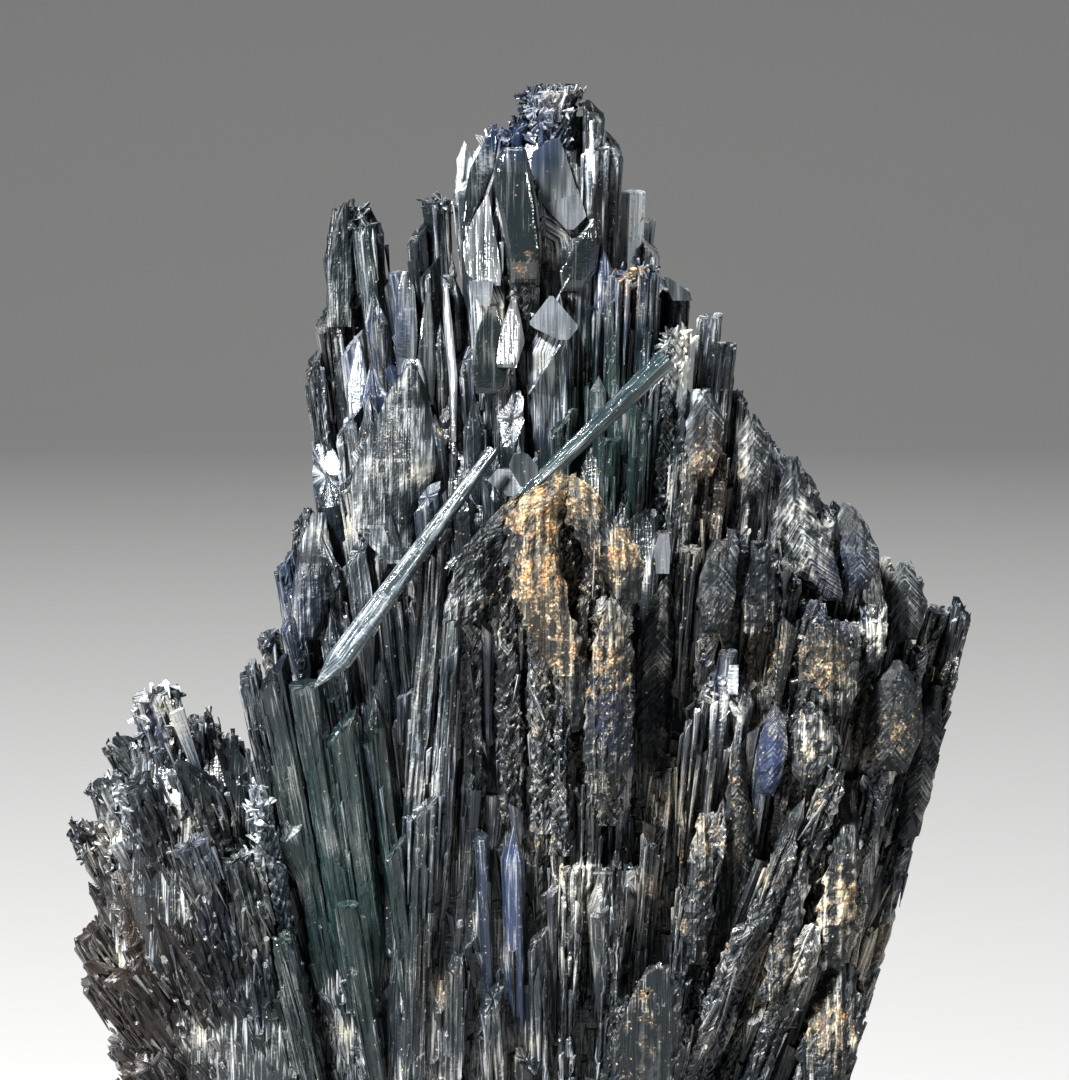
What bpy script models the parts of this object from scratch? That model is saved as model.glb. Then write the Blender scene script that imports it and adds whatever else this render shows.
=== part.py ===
"""A vivianite crystal cluster at its real size, in metres, +Z up.

Bladed crystals fan upwards from a foot that is cut off flat and rests on the ground at z = 0. A sheaf of
near-upright blades climbs to a crown, a low lobe of fibres radiates to the left, and two loose-looking blades
lie slanting across the front. All the crystals have grown into each other, so they make one solid.
The viewer's side is -Y.
"""

import math
import random
from collections import namedtuple

import bmesh
import bpy
from mathutils import Vector

MM = 0.001

# The fan: every blade of the sheaf points away from one spot far below the foot.
FAN_ROOT = Vector((1.8, 3.0, -64.0))
# The lobe's fibres point away from a spot inside the foot.
LOBE_ROOT = Vector((-13.0, 1.0, -2.0))
FOOT_DEPTH = 4.0  # how far the crystals run below the cut before it is made
SEED = 7

SECTION_SIDES = 6
CORNER_SHARES = (0.3, 0.8)  # where the corners of the long sides lie, in half widths
SIDE_RISE = 0.35  # how far the two side corners lie off the middle, in half thicknesses
POINT_LENGTH = 1.2  # pointed ends, in blade widths
POINT_SPREAD = (0.8, 1.3)  # how unevenly the faces of a point start
APEX_LEAN = 0.2  # how far the very tip of a point lies off the middle, in blade widths
ROUND_DROP = 0.62  # where a rounded end starts, in blade widths
ROUND_SPREAD = (0.85, 1.2)
ROUND_SCALE = 0.6  # the flat left on a rounded end, in blade widths
ROOT_TAPER = 0.78  # the section of a blade where it starts, against its section at the tip
LEAST_RISE = 0.05  # the flattest rise of a blade that its length is worked out with

# How much a cut end rises towards +X and towards +Y, in mm for each mm.
CUT_ENDS = {
    "flat": (0.06, 0.14),
    "left": (0.85, 0.30),
    "right": (-0.85, 0.30),
    "front": (0.12, 1.70),
    "steep": (-0.35, 2.30),
}

# A blade: its tip and size in mm, the form of its end, how far it runs back from the tip, its turn about its
# own length in degrees, and its foot where it doesn't follow the fan.
Blade = namedtuple("Blade", "x y z width thick end length turn foot", defaults=("flat", 90.0, 0.0, None))

CROWN = [
    Blade(2.0, 5.5, 84.3, 4.4, 4.2, "flat", 40),
    Blade(4.9, 5.0, 83.3, 1.7, 3.4, "right", 40),
    Blade(6.1, 4.6, 81.2, 1.7, 3.6, "right", 40),
    Blade(-0.7, 5.0, 82.2, 2.4, 3.4, "left", 40),
    Blade(-2.6, 4.6, 81.2, 2.4, 3.0, "left", 40),
    Blade(-4.3, 5.4, 80.3, 1.1, 1.8, "point", 30, 20),
    Blade(0.2, 2.6, 80.8, 2.0, 2.4, "front", 30, -12),
    Blade(2.4, 1.9, 80.4, 3.7, 3.4, "steep", 30, 8),
    Blade(5.0, 2.2, 80.0, 1.7, 2.4, "flat", 34, -20),
    Blade(-3.6, 2.6, 78.6, 2.4, 2.8, "left", 30, 14),
    Blade(-1.6, 1.6, 77.6, 2.0, 2.6, "point", 26, -18),
    Blade(-2.9, -0.2, 76.3, 2.8, 3.0, "steep", 24, 10),
    Blade(-0.4, -0.3, 74.4, 2.4, 2.6, "round", 24, 16),
    Blade(3.9, 0.4, 75.2, 2.2, 2.4, "front", 24, -24),
    Blade(5.4, 0.4, 73.4, 1.8, 2.2, "point", 24, 14),
    Blade(1.8, -1.4, 69.9, 3.6, 2.6, "point", 20, 6),
    Blade(-1.7, -1.8, 68.4, 2.2, 2.6, "left", 20, -14),
    Blade(7.6, 9.2, 76.8, 2.0, 2.2, "flat", 40, 8),
    Blade(9.0, 8.8, 73.4, 1.4, 2.4, "right", 40),
    Blade(10.5, 4.6, 70.8, 2.8, 2.6, "right", 34),
]

UPPER_LEFT = [
    Blade(-12.4, 11.6, 75.5, 4.8, 3.6, "round", 60, 6),
    Blade(-11.3, 9.2, 74.4, 2.3, 2.2, "flat", 50, -10),
    Blade(-14.0, 9.0, 69.0, 1.9, 3.2, "left", 50),
    Blade(-15.1, 7.4, 65.6, 1.9, 3.2, "left", 50),
    Blade(-14.3, 4.2, 59.2, 2.4, 2.8, "front", 50, 12),
    Blade(-6.4, 6.4, 76.3, 2.3, 2.8, "flat", 40, 12),
    Blade(-7.6, 5.6, 74.6, 1.6, 2.6, "left", 40),
    Blade(-9.1, 4.4, 71.2, 1.4, 1.7, "flat", 20, 10, (-6.4, 3.6, 50)),
    Blade(-6.7, 3.0, 72.3, 1.8, 2.2, "left", 30, -14),
    Blade(-5.1, 2.0, 71.6, 1.8, 2.2, "point", 30, 18),
    Blade(-5.9, 0.8, 68.0, 1.6, 2.0, "point", 26, -20),
    Blade(-10.7, 5.2, 69.8, 1.8, 2.2, "point", 40, 16),
    Blade(-12.3, 5.0, 67.0, 2.0, 2.4, "left", 40, -8),
    Blade(-10.8, 2.2, 65.0, 2.2, 2.4, "point", 34, 10),
    Blade(-12.5, 2.0, 61.8, 2.3, 2.4, "left", 34, -14),
    Blade(-7.8, 0.2, 65.2, 2.3, 2.6, "round", 30, 8),
    Blade(-9.5, -2.6, 60.0, 3.2, 2.8, "round", 20, -6),
    Blade(-4.4, -0.4, 66.2, 2.0, 2.4, "left", 30, 14),
    Blade(-6.3, -1.8, 61.6, 1.9, 2.2, "point", 26, -22),
    Blade(-3.6, -2.4, 63.0, 2.0, 2.4, "point", 26, 12),
    Blade(-1.0, -3.2, 63.4, 2.2, 2.4, "front", 26, -14),
    Blade(-2.2, -5.4, 59.4, 2.0, 2.2, "front", 22, 16),
    Blade(0.2, -5.2, 58.8, 1.8, 2.2, "left", 22, -10),
    Blade(-12.2, -1.4, 58.0, 2.2, 2.4, "left", 34, 10),
    Blade(-4.4, -5.4, 57.4, 2.0, 2.4, "point", 24, -8),
    Blade(-6.8, -5.2, 57.0, 2.2, 2.2, "left", 24, 14),
]

LEFT_SLOPE = [
    Blade(-15.9, 1.8, 54.6, 2.0, 2.8, "left", 60, 6),
    Blade(-16.9, -0.4, 51.8, 1.8, 2.8, "left", 60, -8),
    Blade(-14.2, -3.4, 53.6, 2.2, 2.6, "point", 44, 12),
    Blade(-16.2, -3.6, 49.8, 1.8, 2.4, "round", 44, -6),
    Blade(-11.6, -5.0, 53.4, 2.2, 2.4, "left", 40, 8),
    Blade(-13.4, -6.4, 48.6, 2.0, 2.4, "point", 40, -12),
    Blade(-9.4, -7.0, 50.6, 2.2, 2.4, "left", 40, 6),
    Blade(-18.0, -1.8, 46.4, 2.0, 3.0, "flat", 60, 4),
    Blade(-19.4, -2.8, 44.4, 1.8, 3.2, "left", 60),
    Blade(-17.6, -6.2, 45.0, 2.6, 2.6, "left", 60, -6),
    Blade(-15.2, -7.6, 43.4, 2.6, 2.8, "flat", 60, 5),
    Blade(-12.8, -8.6, 41.6, 2.8, 2.6, "left", 60, -4),
    Blade(-10.4, -8.8, 43.0, 2.2, 2.6, "point", 60, 8),
    Blade(-9.0, -10.0, 33.0, 1.8, 2.0, "left", 50, -8),
    Blade(-12.2, -10.2, 28.4, 1.9, 1.8, "flat", 50, 6),
    Blade(-18.6, -7.0, 36.0, 2.0, 2.4, "round", 60, -10),
    Blade(-16.8, -8.6, 26.0, 2.0, 2.2, "flat", 60, 6),
]

FRONT_PANEL = [
    Blade(-6.0, -9.2, 54.2, 2.2, 2.6, "left", 60, 8, (-10.2, -6.6, 0)),
    Blade(-4.4, -10.2, 51.6, 2.2, 2.6, "point", 60, -8, (-7.8, -7.6, 0)),
    Blade(-3.4, -9.4, 47.0, 1.4, 2.2, "left", 60, 0, (-5.8, -7.2, 0)),
    Blade(-6.8, -10.8, 36.0, 2.2, 1.8, "left", 50, 10, (-8.2, -8.6, 0)),
    Blade(-4.6, -10.6, 25.0, 1.8, 1.8, "round", 50, -8, (-5.2, -8.8, 0)),
    Blade(-3.0, -10.6, 33.2, 1.1, 1.8, "flat", 40, 6),
    Blade(-0.9, -10.9, 33.8, 1.8, 2.0, "point", 40, -8),
    Blade(-2.2, -11.4, 23.0, 1.9, 2.2, "left", 40, 10),
    Blade(0.1, -11.2, 18.4, 1.8, 2.0, "right", 40, -10),
]

SHOULDER = [
    Blade(-3.6, -10.4, 53.9, 2.5, 3.0, "left", 22, 6, (-3.4, -8.6, 30)),
    Blade(-1.5, -11.6, 55.6, 2.5, 3.2, "left", 22, -4, (-0.6, -8.8, 30)),
    Blade(0.6, -12.4, 57.0, 2.6, 3.4, "round", 24, 6, (1.4, -8.8, 30)),
    Blade(2.9, -12.2, 58.0, 2.8, 3.6, "round", 24, -6, (2.6, -8.6, 30)),
    Blade(5.0, -12.6, 56.2, 2.7, 3.6, "right", 24, 8, (3.8, -8.8, 30)),
    Blade(6.7, -12.2, 54.4, 2.4, 3.4, "round", 24, -8, (5.2, -8.8, 30)),
    Blade(1.0, -14.0, 51.6, 2.5, 2.4, "round", 16, 10, (1.6, -11.4, 36)),
    Blade(2.7, -13.6, 47.6, 2.2, 2.4, "round", 16, -10, (2.6, -11.2, 34)),
    Blade(5.7, -13.8, 49.8, 3.0, 2.6, "round", 16, 6, (5.5, -11.2, 34)),
]

MID_PANEL = [
    Blade(1.4, 0.2, 66.0, 1.9, 2.6, "left", 40, 4),
    Blade(3.1, -0.4, 68.0, 1.8, 2.6, "left", 40, -4),
    Blade(4.8, -0.2, 69.2, 1.9, 2.6, "flat", 40, 3),
    Blade(6.6, -0.6, 71.4, 2.0, 2.8, "flat", 40, -3),
    Blade(8.5, 0.0, 71.8, 2.2, 3.0, "flat", 40, 4),
    Blade(10.6, 1.6, 70.2, 2.4, 2.8, "flat", 40, -4),
    Blade(2.6, -2.6, 62.0, 1.8, 2.0, "left", 30, 6),
    Blade(6.0, -3.0, 60.0, 1.8, 2.0, "flat", 30, -8),
    Blade(8.2, -2.8, 62.8, 1.8, 2.0, "right", 30, 6),
]

TOWER = [
    Blade(10.6, -3.0, 67.6, 2.3, 2.6, "flat", 40, 4),
    Blade(13.0, -0.6, 68.5, 1.9, 2.6, "flat", 40, -4),
    Blade(14.1, -2.2, 66.6, 1.4, 2.2, "flat", 40, 6),
    Blade(12.3, -2.6, 63.4, 1.4, 2.0, "flat", 40, -6),
    Blade(13.4, -5.0, 61.0, 2.2, 2.4, "right", 40, 4),
    Blade(11.2, -5.4, 60.2, 2.2, 2.4, "flat", 40, -4),
    Blade(9.5, -7.6, 53.8, 1.4, 2.0, "flat", 50, 4),
]

RIGHT_SLOPE = [
    Blade(15.3, -0.8, 63.2, 1.6, 2.6, "right", 60, 4),
    Blade(16.0, -4.4, 61.6, 2.3, 2.0, "point", 40, -6),
    Blade(17.4, 0.0, 60.4, 2.0, 2.8, "right", 60, 6),
    Blade(18.7, -4.2, 58.8, 2.6, 2.2, "right", 40, -8),
    Blade(20.0, 0.4, 57.6, 2.2, 3.0, "right", 60, 4),
    Blade(20.9, -4.4, 56.0, 2.4, 2.2, "right", 40, 8),
    Blade(22.3, 0.8, 55.2, 2.1, 3.0, "right", 60, -4),
    Blade(23.3, -3.4, 53.6, 2.0, 2.4, "right", 50, 6),
    Blade(24.6, 1.4, 52.0, 2.0, 3.0, "right", 60, -4),
    Blade(26.1, 1.6, 51.1, 2.0, 3.0, "right", 60, 4),
    Blade(27.4, 2.4, 49.9, 1.8, 3.2, "flat", 60, -4),
    Blade(24.6, -5.6, 49.0, 1.9, 2.2, "point", 50, 8),
    Blade(27.8, 0.2, 45.0, 2.0, 2.8, "flat", 60, -6),
    Blade(29.4, 5.6, 47.4, 2.0, 3.2, "flat", 70, 4),
    Blade(31.2, 6.0, 47.9, 1.9, 3.0, "right", 70, -4),
    Blade(30.2, 2.6, 44.0, 1.9, 2.8, "round", 70, 6),
    Blade(25.9, -5.4, 44.2, 2.9, 2.6, "round", 50, -8),
    Blade(28.4, -1.6, 39.0, 2.0, 2.6, "right", 60, 4),
]

RIGHT_FRONT = [
    Blade(11.4, -7.6, 52.8, 1.8, 2.4, "flat", 60, -6),
    Blade(13.1, -8.4, 50.6, 1.8, 2.4, "left", 60, 8),
    Blade(14.9, -7.2, 54.0, 2.0, 2.4, "right", 60, -4),
    Blade(16.8, -7.2, 55.4, 2.0, 2.4, "point", 60, 6),
    Blade(18.6, -7.8, 52.0, 2.0, 2.4, "right", 60, -8),
    Blade(20.2, -8.4, 49.2, 2.4, 2.6, "round", 50, 8),
    Blade(22.4, -7.8, 47.6, 2.4, 2.6, "round", 50, -4),
    Blade(13.9, -10.2, 45.8, 1.6, 2.0, "flat", 46, 6),
    Blade(15.3, -10.4, 44.0, 1.4, 2.0, "right", 46, -8),
    Blade(11.9, -10.2, 43.4, 1.8, 2.2, "left", 46, 8),
    Blade(17.0, -10.8, 42.2, 1.7, 2.2, "point", 46, -6),
    Blade(19.3, -10.6, 42.4, 2.4, 2.4, "round", 46, 10),
    Blade(21.7, -10.2, 40.4, 2.2, 2.4, "right", 46, -8),
    Blade(9.6, -10.4, 38.6, 1.8, 2.2, "left", 46, 6),
    Blade(24.3, -6.6, 36.8, 2.4, 2.6, "right", 46, 8),
]

LOWER_FRONT = [
    Blade(0.8, -10.6, 44.0, 2.0, 2.4, "left", 50, 6),
    Blade(2.7, -11.2, 39.0, 1.8, 2.4, "flat", 50, -6),
    Blade(4.8, -11.8, 42.0, 2.0, 2.6, "flat", 50, 4),
    Blade(6.9, -11.4, 44.6, 2.0, 2.6, "right", 50, -6),
    Blade(8.6, -11.8, 33.6, 1.6, 2.0, "right", 40, 8),
    Blade(3.2, -13.0, 31.4, 1.6, 1.8, "flat", 40, -4),
    Blade(6.2, -13.4, 31.6, 2.0, 2.0, "flat", 40, 6),
    Blade(1.0, -12.0, 27.0, 1.6, 1.8, "left", 40, -6),
    Blade(11.2, -12.0, 30.0, 2.0, 2.2, "right", 40, 6),
    Blade(13.6, -12.2, 36.0, 1.8, 2.2, "point", 46, -8),
]

# The bundles low on the right lean across the fan, up to the right.
LOWER_RIGHT = [
    Blade(21.4, -12.4, 38.0, 2.4, 2.8, "round", 50, 8, (8.2, -9.0, 0)),
    Blade(22.4, -11.4, 34.6, 2.2, 2.8, "right", 50, -6, (10.6, -8.4, 0)),
    Blade(18.6, -13.2, 34.4, 2.2, 2.8, "point", 50, 10, (6.0, -9.6, 0)),
    Blade(23.0, -10.6, 29.2, 2.2, 2.8, "round", 50, -8, (12.6, -7.8, 0)),
    Blade(19.8, -13.2, 27.4, 2.4, 2.8, "round", 50, 6, (9.8, -9.8, 0)),
    Blade(15.6, -13.8, 28.4, 2.0, 2.6, "left", 46, -8, (5.4, -10.2, 0)),
    Blade(23.4, -8.4, 23.8, 2.2, 2.8, "right", 46, 8, (15.8, -6.4, 0)),
    Blade(20.8, -12.0, 20.6, 2.4, 2.6, "round", 40, -6, (13.2, -9.2, 0)),
    Blade(8.9, -14.4, 24.8, 2.2, 2.8, "round", 40, 10, (5.4, -10.4, 0)),
    Blade(6.7, -14.2, 22.4, 2.0, 2.6, "round", 40, -8, (4.0, -10.4, 0)),
    Blade(10.9, -13.8, 21.0, 2.0, 2.8, "round", 40, 6, (7.4, -10.2, 0)),
]

SLANTING = [
    Blade(9.9, -4.2, 65.6, 1.8, 1.2, "flat", 24, 8, (-2.4, -9.8, 54.2)),
    Blade(-14.2, -12.4, 43.3, 2.2, 1.2, "point", 24, -6, (-4.4, -8.4, 56.4)),
]

# The lobe's rim, from its join with the sheaf over the top and down the outer side, in x and z.
LOBE_RIM = [
    (-21.6, 39.8), (-23.6, 41.2), (-26.2, 42.2), (-28.6, 40.2), (-29.8, 36.8), (-30.9, 33.6),
    (-31.4, 30.0), (-31.0, 26.2), (-30.2, 22.4), (-29.0, 18.4), (-27.4, 14.6), (-25.6, 10.6),
]
# Each layer of the lobe: its depth, how far its tips lie from the root against the rim, and its blade size.
LOBE_LAYERS = [
    (-7.6, 0.80, 3.4, 2.6),
    (-5.0, 0.93, 3.4, 3.0),
    (-1.6, 1.0, 3.6, 3.4),
    (2.6, 0.97, 3.6, 3.6),
    (6.4, 0.86, 3.6, 3.2),
    (9.0, 0.70, 3.4, 2.8),
]
LOBE_ENDS = ["flat", "front", "flat", "right", "point", "flat"]
LOBE_FULL_LAYER = 2  # the layer that has a fibre at every point of the rim
LOBE_LENGTH = 26
LOBE_TURN = 18.0  # degrees between the turns of neighbouring fibres
LOBE_STEP = 0.02  # how much shorter one fibre is than the next, as a share of its reach
LOBE_ROOT_SPREAD = 0.3  # how far the layers are apart at the root, against their depth at the tips

# The far side: rows of blades that step down from the crown to the outside. Each row has its share of the
# foot's reach, the height of its tips and its blade width.
FAR_ROWS = [
    (1.00, 30.0, 3.8),
    (0.90, 41.0, 4.0),
    (0.77, 51.0, 3.8),
    (0.62, 60.0, 3.6),
    (0.46, 67.0, 3.4),
    (0.30, 72.0, 3.4),
    (0.17, 76.5, 3.2),
]
FOOT_CENTRE = Vector((3.8, 3.0, 0.0))
FOOT_REACH = Vector((14.2, 10.4, 0.0))
FAR_FROM, FAR_TO = -14.0, 196.0  # degrees about the foot, from +X through the far side
FAR_STEP = 4.2  # the spacing of the blades at their tips
FAR_LENGTH = 60
FAR_TURN = 30
FAR_THICK = (0.75, 1.0)  # the blades' thickness, in widths
FAR_WANDER = 0.05  # how far a blade strays from its place, in radians
FAR_UNEVEN = (-4.5, 4.0)  # how unevenly high the tips of a row are
FAR_REACH = (0.96, 1.02)
FAR_ENDS = ["left", "point", "flat", "right", "left", "front", "right", "point"]
# The crest of the sheaf as x and height, from left to right. No blade of the far side stands above it.
CREST = [
    (-24.0, 34.0), (-18.5, 43.0), (-15.0, 58.0), (-10.0, 68.0), (-4.0, 75.0), (2.0, 78.0),
    (8.0, 72.0), (13.0, 65.0), (20.0, 55.0), (26.0, 49.0), (31.5, 44.0),
]
CREST_DROP = 3.0  # how far below the crest the highest blades may end

# The body that the crystals have grown out of: level outlines of x-, x+, y- and y+, from the foot up.
BODY_CUT = 0.22  # how much of each side the cut corners take
GROUND_SIZE = 200
BODY_LEVELS = [
    (-4.0, -14.0, 17.4, -9.2, 12.5),
    (20.0, -15.5, 22.4, -9.8, 14.5),
    (40.0, -15.0, 26.5, -8.2, 13.5),
    (50.0, -12.0, 17.0, -5.2, 11.0),
    (60.0, -9.0, 10.0, -0.8, 8.8),
    (68.0, -4.5, 5.0, 1.5, 7.0),
]
LOBE_BODY_LEVELS = [
    (-4.0, -20.0, -8.0, -5.4, 7.0),
    (8.0, -23.6, -10.0, -6.8, 8.0),
    (18.0, -27.4, -13.0, -7.0, 8.2),
    (28.0, -29.4, -16.0, -5.6, 7.4),
    (34.0, -28.8, -18.0, -4.0, 6.0),
    (38.6, -26.2, -20.6, -1.6, 3.6),
]


def clear_scene():
    """Removes whatever the scene holds."""
    for thing in list(bpy.data.objects):
        bpy.data.objects.remove(thing, do_unlink=True)


def height_at(outline, x):
    """The height of an outline of (x, height) pairs at x."""
    for (x0, z0), (x1, z1) in zip(outline, outline[1:]):
        if x0 <= x <= x1:
            return z0 + (z1 - z0) * (x - x0) / (x1 - x0)
    return outline[0][1] if x < outline[0][0] else outline[-1][1]


def blade_axes(blade, root):
    """The direction of a blade, its width direction and its thickness direction."""
    tip = Vector((blade.x, blade.y, blade.z))
    along = (tip - (Vector(blade.foot) if blade.foot else root)).normalized()
    wide = Vector((1.0, 0.0, 0.0)) - along * along.x
    wide.normalize()
    deep = along.cross(wide)
    turn = math.radians(blade.turn)
    turned = wide * math.cos(turn) + deep * math.sin(turn)
    return along, turned, along.cross(turned)


def section(blade, shape):
    """The six corners of a blade's flattened section, as (across, through) pairs."""
    half_width, half_thick = blade.width / 2, blade.thick / 2
    left, right = shape.uniform(*CORNER_SHARES), shape.uniform(*CORNER_SHARES)
    rise = shape.uniform(-SIDE_RISE, SIDE_RISE)
    return [
        (-half_width, rise * half_thick),
        (-half_width * left, -half_thick),
        (half_width * right, -half_thick),
        (half_width, -rise * half_thick),
        (half_width * left, half_thick),
        (-half_width * right, half_thick),
    ]


def end_levels(blade, shape):
    """The rings at a blade's tip, as (section scale, heights at the six corners) pairs."""
    corners = section(blade, shape)
    if blade.end == "point":
        drop = blade.width * POINT_LENGTH
        return corners, [(1.0, [-drop * shape.uniform(*POINT_SPREAD) for _ in corners])]
    if blade.end == "round":
        drop = blade.width * ROUND_DROP
        lower = [-drop * shape.uniform(*ROUND_SPREAD) for _ in corners]
        return corners, [(1.0, lower), (ROUND_SCALE, [0.0 for _ in corners])]
    rise_x, rise_y = CUT_ENDS[blade.end]
    heights = [rise_x * across + rise_y * through for across, through in corners]
    top = max(heights)
    return corners, [(1.0, [height - top for height in heights])]


def add_blade(mesh, blade, root, shape):
    """Adds one closed blade to a mesh that is being built."""
    along, wide, deep = blade_axes(blade, root)
    tip = Vector((blade.x, blade.y, blade.z))
    deepest = (tip.z + FOOT_DEPTH) / max(along.z, LEAST_RISE)
    length = min(blade.length, deepest)
    if blade.foot:
        length = min(length, (tip - Vector(blade.foot)).length + FOOT_DEPTH)
    corners, levels = end_levels(blade, shape)

    def ring(scale, heights):
        points = []
        for (across, through), height in zip(corners, heights):
            offset = wide * across * scale + deep * through * scale
            points.append(mesh.verts.new((tip + along * height + offset) * MM))
        return points

    rings = [ring(ROOT_TAPER, [-length] * SECTION_SIDES)]
    rings += [ring(scale, heights) for scale, heights in levels]
    mesh.faces.new(list(reversed(rings[0])))
    for lower, upper in zip(rings, rings[1:]):
        for i in range(SECTION_SIDES):
            j = (i + 1) % SECTION_SIDES
            mesh.faces.new((lower[i], lower[j], upper[j], upper[i]))
    if blade.end != "point":
        mesh.faces.new(rings[-1])
        return
    lean = wide * blade.width * shape.uniform(-APEX_LEAN, APEX_LEAN)
    apex = mesh.verts.new((tip + lean) * MM)
    for i in range(SECTION_SIDES):
        mesh.faces.new((rings[-1][i], rings[-1][(i + 1) % SECTION_SIDES], apex))


def lobe_blades():
    """The fibres of the lobe, in layers from the viewer's side to the far side."""
    blades = []
    for layer, (depth, reach, width, thick) in enumerate(LOBE_LAYERS):
        for i, (x, z) in enumerate(LOBE_RIM):
            if (i + layer) % 2 and layer != LOBE_FULL_LAYER:
                continue
            out = reach - LOBE_STEP * ((i * 2 + layer) % 3)
            tip_x = LOBE_ROOT.x + (x - LOBE_ROOT.x) * out
            tip_z = LOBE_ROOT.z + (z - LOBE_ROOT.z) * out
            end = LOBE_ENDS[(i + 2 * layer) % len(LOBE_ENDS)]
            turn = LOBE_TURN * ((i + layer) % 3 - 1)
            blades.append(Blade(tip_x, depth, tip_z, width, thick, end, LOBE_LENGTH, turn))
    return blades


def far_blades(shape):
    """The blades of the far side, in rows that step down and away from the crown."""
    blades = []
    for row, (share, height, width) in enumerate(FAR_ROWS):
        spread = (height - FAN_ROOT.z) / -FAN_ROOT.z
        arc = math.radians(FAR_TO - FAR_FROM) * share * spread * (FOOT_REACH.x + FOOT_REACH.y) / 2
        count = round(arc / FAR_STEP)
        for i in range(count):
            angle = math.radians(FAR_FROM + (FAR_TO - FAR_FROM) * (i + 0.5 * (row % 2)) / (count - 0.5))
            angle += shape.uniform(-FAR_WANDER, FAR_WANDER)
            tip_z = height + shape.uniform(*FAR_UNEVEN)
            reach = share * shape.uniform(*FAR_REACH) * FOOT_REACH
            foot = FOOT_CENTRE + Vector((reach.x * math.cos(angle), reach.y * math.sin(angle), 0.0))
            tip = FAN_ROOT + (foot - FAN_ROOT) * (tip_z - FAN_ROOT.z) / -FAN_ROOT.z
            tip_z = min(tip_z, height_at(CREST, tip.x) + shape.uniform(-CREST_DROP, 0.0))
            tip = FAN_ROOT + (foot - FAN_ROOT) * (tip_z - FAN_ROOT.z) / -FAN_ROOT.z
            end = FAR_ENDS[(i * 3 + row) % len(FAR_ENDS)]
            thick = width * shape.uniform(*FAR_THICK)
            turn = shape.uniform(-FAR_TURN, FAR_TURN)
            blades.append(Blade(tip.x, tip.y, tip.z, width, thick, end, FAR_LENGTH, turn))
    return blades


def add_body(mesh, levels):
    """Adds a closed eight-sided body through a list of levels."""
    rings = []
    for z, left, right, front, back in levels:
        cut_x, cut_y = (right - left) * BODY_CUT, (back - front) * BODY_CUT
        outline = [
            (left, front + cut_y), (left + cut_x, front), (right - cut_x, front), (right, front + cut_y),
            (right, back - cut_y), (right - cut_x, back), (left + cut_x, back), (left, back - cut_y),
        ]
        rings.append([mesh.verts.new((x * MM, y * MM, z * MM)) for x, y in outline])
    mesh.faces.new(list(reversed(rings[0])))
    mesh.faces.new(rings[-1])
    for lower, upper in zip(rings, rings[1:]):
        for i in range(len(lower)):
            j = (i + 1) % len(lower)
            mesh.faces.new((lower[i], lower[j], upper[j], upper[i]))


def new_object(name, mesh, collection):
    """Turns a built mesh into an object in a collection."""
    bmesh.ops.triangulate(mesh, faces=[face for face in mesh.faces if len(face.verts) > 4])
    bmesh.ops.recalc_face_normals(mesh, faces=mesh.faces)
    data = bpy.data.meshes.new(name)
    mesh.to_mesh(data)
    mesh.free()
    thing = bpy.data.objects.new(name, data)
    collection.objects.link(thing)
    return thing


def as_tool(thing):
    """Marks an object as one that only shapes another."""
    thing.hide_render = True
    thing.display_type = "WIRE"
    return thing


def boolean(thing, name, operation, collection):
    """Joins or cuts an object with everything in a collection, and keeps the result as its mesh."""
    modifier = thing.modifiers.new(name, "BOOLEAN")
    modifier.operation = operation
    modifier.solver = "EXACT"
    modifier.operand_type = "COLLECTION"
    modifier.collection = collection
    evaluated = thing.evaluated_get(bpy.context.evaluated_depsgraph_get())
    result = bpy.data.meshes.new_from_object(evaluated)
    thing.modifiers.clear()
    thing.data = result


def keep_outer_shell(thing):
    """Drops closed pockets inside the solid, and leaves its outer skin."""
    mesh = bmesh.new()
    mesh.from_mesh(thing.data)
    unseen = set(mesh.verts)
    shells = []
    while unseen:
        todo = [unseen.pop()]
        shell = set(todo)
        while todo:
            for edge in todo.pop().link_edges:
                for vert in edge.verts:
                    if vert not in shell:
                        shell.add(vert)
                        unseen.discard(vert)
                        todo.append(vert)
        shells.append(shell)
    biggest = max(shells, key=len)
    spare = [vert for vert in mesh.verts if vert not in biggest]
    bmesh.ops.delete(mesh, geom=spare, context="VERTS")
    bmesh.ops.triangulate(mesh, faces=mesh.faces)
    mesh.to_mesh(thing.data)
    mesh.free()


def vivianite():
    """The material of the cluster: near-black blue-green with a glassy lustre."""
    material = bpy.data.materials.new("vivianite")
    material.use_nodes = True
    shader = material.node_tree.nodes["Principled BSDF"]
    shader.inputs["Base Color"].default_value = (0.012, 0.030, 0.036, 1.0)
    shader.inputs["Roughness"].default_value = 0.25
    shader.inputs["Metallic"].default_value = 0.0
    return material


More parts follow.
